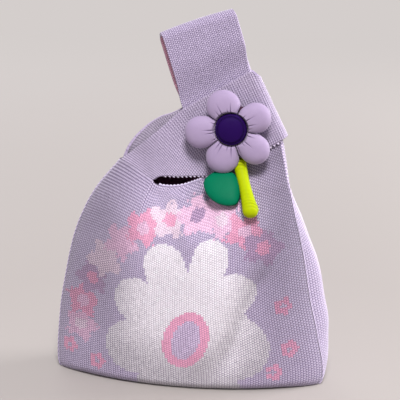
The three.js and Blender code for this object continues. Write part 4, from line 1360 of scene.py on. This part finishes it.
def shown_as(owner, output, lit, plain_kind, share=1.0):
    """Lights with one shader, and shows the backdrop's plain colour to the rays that an eye sees."""
    rays = node(owner, "ShaderNodeLightPath").outputs
    seen = maths(owner, "MAXIMUM", rays["Is Camera Ray"], rays["Is Glossy Ray"])
    seen = maths(owner, "MAXIMUM", seen, rays["Is Transmission Ray"])
    plain = node(owner, plain_kind, {"Color": rgba(BACKDROP)})
    inputs = {0: maths(owner, "MULTIPLY", seen, share), 1: lit.outputs[0], 2: plain.outputs[0]}
    merged = node(owner, "ShaderNodeMixShader", inputs)
    feed(owner, owner.node_tree.nodes[output].inputs["Surface"], merged.outputs[0])


def floor_plane():
    """Pale floor that grows paler with its distance and passes into the backdrop."""
    corners = FLOOR_SIDE * np.array([[-1, -1], [1, -1], [1, 1], [-1, 1]])
    floor = make_mesh("floor_plane", vec(*corners.T, -FLOOR_DROP), np.array([[0, 1, 2, 3]]))
    material, shader = new_material("pale_floor", 0.7)
    place = position(material)
    distance = node(material, "ShaderNodeVectorMath", {0: place}, operation="LENGTH").outputs["Value"]
    ends = {0: ranged(material, distance, PALE_REACH), 6: rgba(FLOOR_NEAR), 7: rgba(FLOOR_FAR)}
    pale = node(material, "ShaderNodeMix", ends, data_type="RGBA").outputs[2]
    grain = noise(material, place, 3.0, 3.0)
    feed(material, shader.inputs["Base Color"], tinted(material, pale, grain, (0.98, 0.975, 0.97, 1)))
    away = ranged(material, distance, BACKDROP_REACH, kind="SMOOTHSTEP")
    shown_as(material, "Material Output", shader, "ShaderNodeEmission", away)
    floor.data.materials.append(material)


def aim(data, place, ahead):
    """Adds a lamp or a camera at a place in metres, that faces along a direction."""
    made = bpy.data.objects.new(data.name, data)
    made.location = place
    made.rotation_euler = ahead.to_track_quat("-Z", "Y").to_euler()
    bpy.context.scene.collection.objects.link(made)
    return made


def lamp(name, place, size, power, colour):
    """Soft square lamp that faces the bag."""
    data = bpy.data.lights.new(name, "AREA")
    data.size = size
    data.energy = power
    data.color = colour
    aim(data, place, Vector(TARGET) - Vector(place))


def world():
    made = bpy.data.worlds.new("studio")
    made.use_nodes = True
    light = made.node_tree.nodes["Background"]
    light.inputs["Color"].default_value = WORLD_COLOUR
    light.inputs["Strength"].default_value = WORLD_STRENGTH
    shown_as(made, "World Output", light, "ShaderNodeBackground")
    bpy.context.scene.world = made


def camera():
    level = math.cos(VIEW_RISE)
    back = Vector((math.sin(VIEW_TURN) * level, -math.cos(VIEW_TURN) * level, math.sin(VIEW_RISE)))
    data = bpy.data.cameras.new("photo_camera")
    data.sensor_width = 36
    data.lens = VIEW_LENS
    bpy.context.scene.camera = aim(data, Vector(TARGET) + back * VIEW_DISTANCE, -back)


def build_bag():
    # the dark tint is the painted shade between stitches
    yarn = knit_material("lilac_yarn", (0.1, 0.06, 0.15))
    body_wall("front_knit", front_place, 1, front_tone, "front_panel", yarn)
    body_wall("back_knit", back_place, -1, even_tone(LILAC), "back_panel", yarn)
    body_floor(yarn)
    seam_welt("left", 0, LEFT_WELT_R, LILAC_DEEP, yarn)
    seam_welt("right", 1, RIGHT_WELT_R, LILAC, yarn)
    for side, where in [(FRONT, "front"), (BACK, "back")]:
        lip_picots(side, where, yarn)
        band_picots(side, where, yarn)
    short_handle(yarn)
    long_handle(yarn)
    handle_roots(yarn)
    gather_thread(yarn)


def build_brooch():
    satin = cloth_material("lilac_satin", SATIN_LILAC, 0.48, sheen=0.12)
    for index in range(len(PETALS)):
        petal(index, satin)
    centre_button(cloth_material("purple_satin", BUTTON_PURPLE, 0.5, threads=0.3))
    felt_backing(felt_material("plum_felt", PLUM))
    stem(cloth_material("lime_satin", STEM_LIME, 0.5))
    leaf(cloth_material("green_satin", LEAF_GREEN, 0.5))
    steel = steel_material()
    for name in ("pin_bar", "pin_needle", "pin_catch"):
        part = frame["nodes"][name]
        part.data.materials.clear()
        part.data.materials.append(steel)


build_bag()
build_brooch()
floor_plane()
world()
for settings in LAMPS:
    lamp(*settings)
camera()
bpy.context.scene.view_settings.view_transform = "Standard"
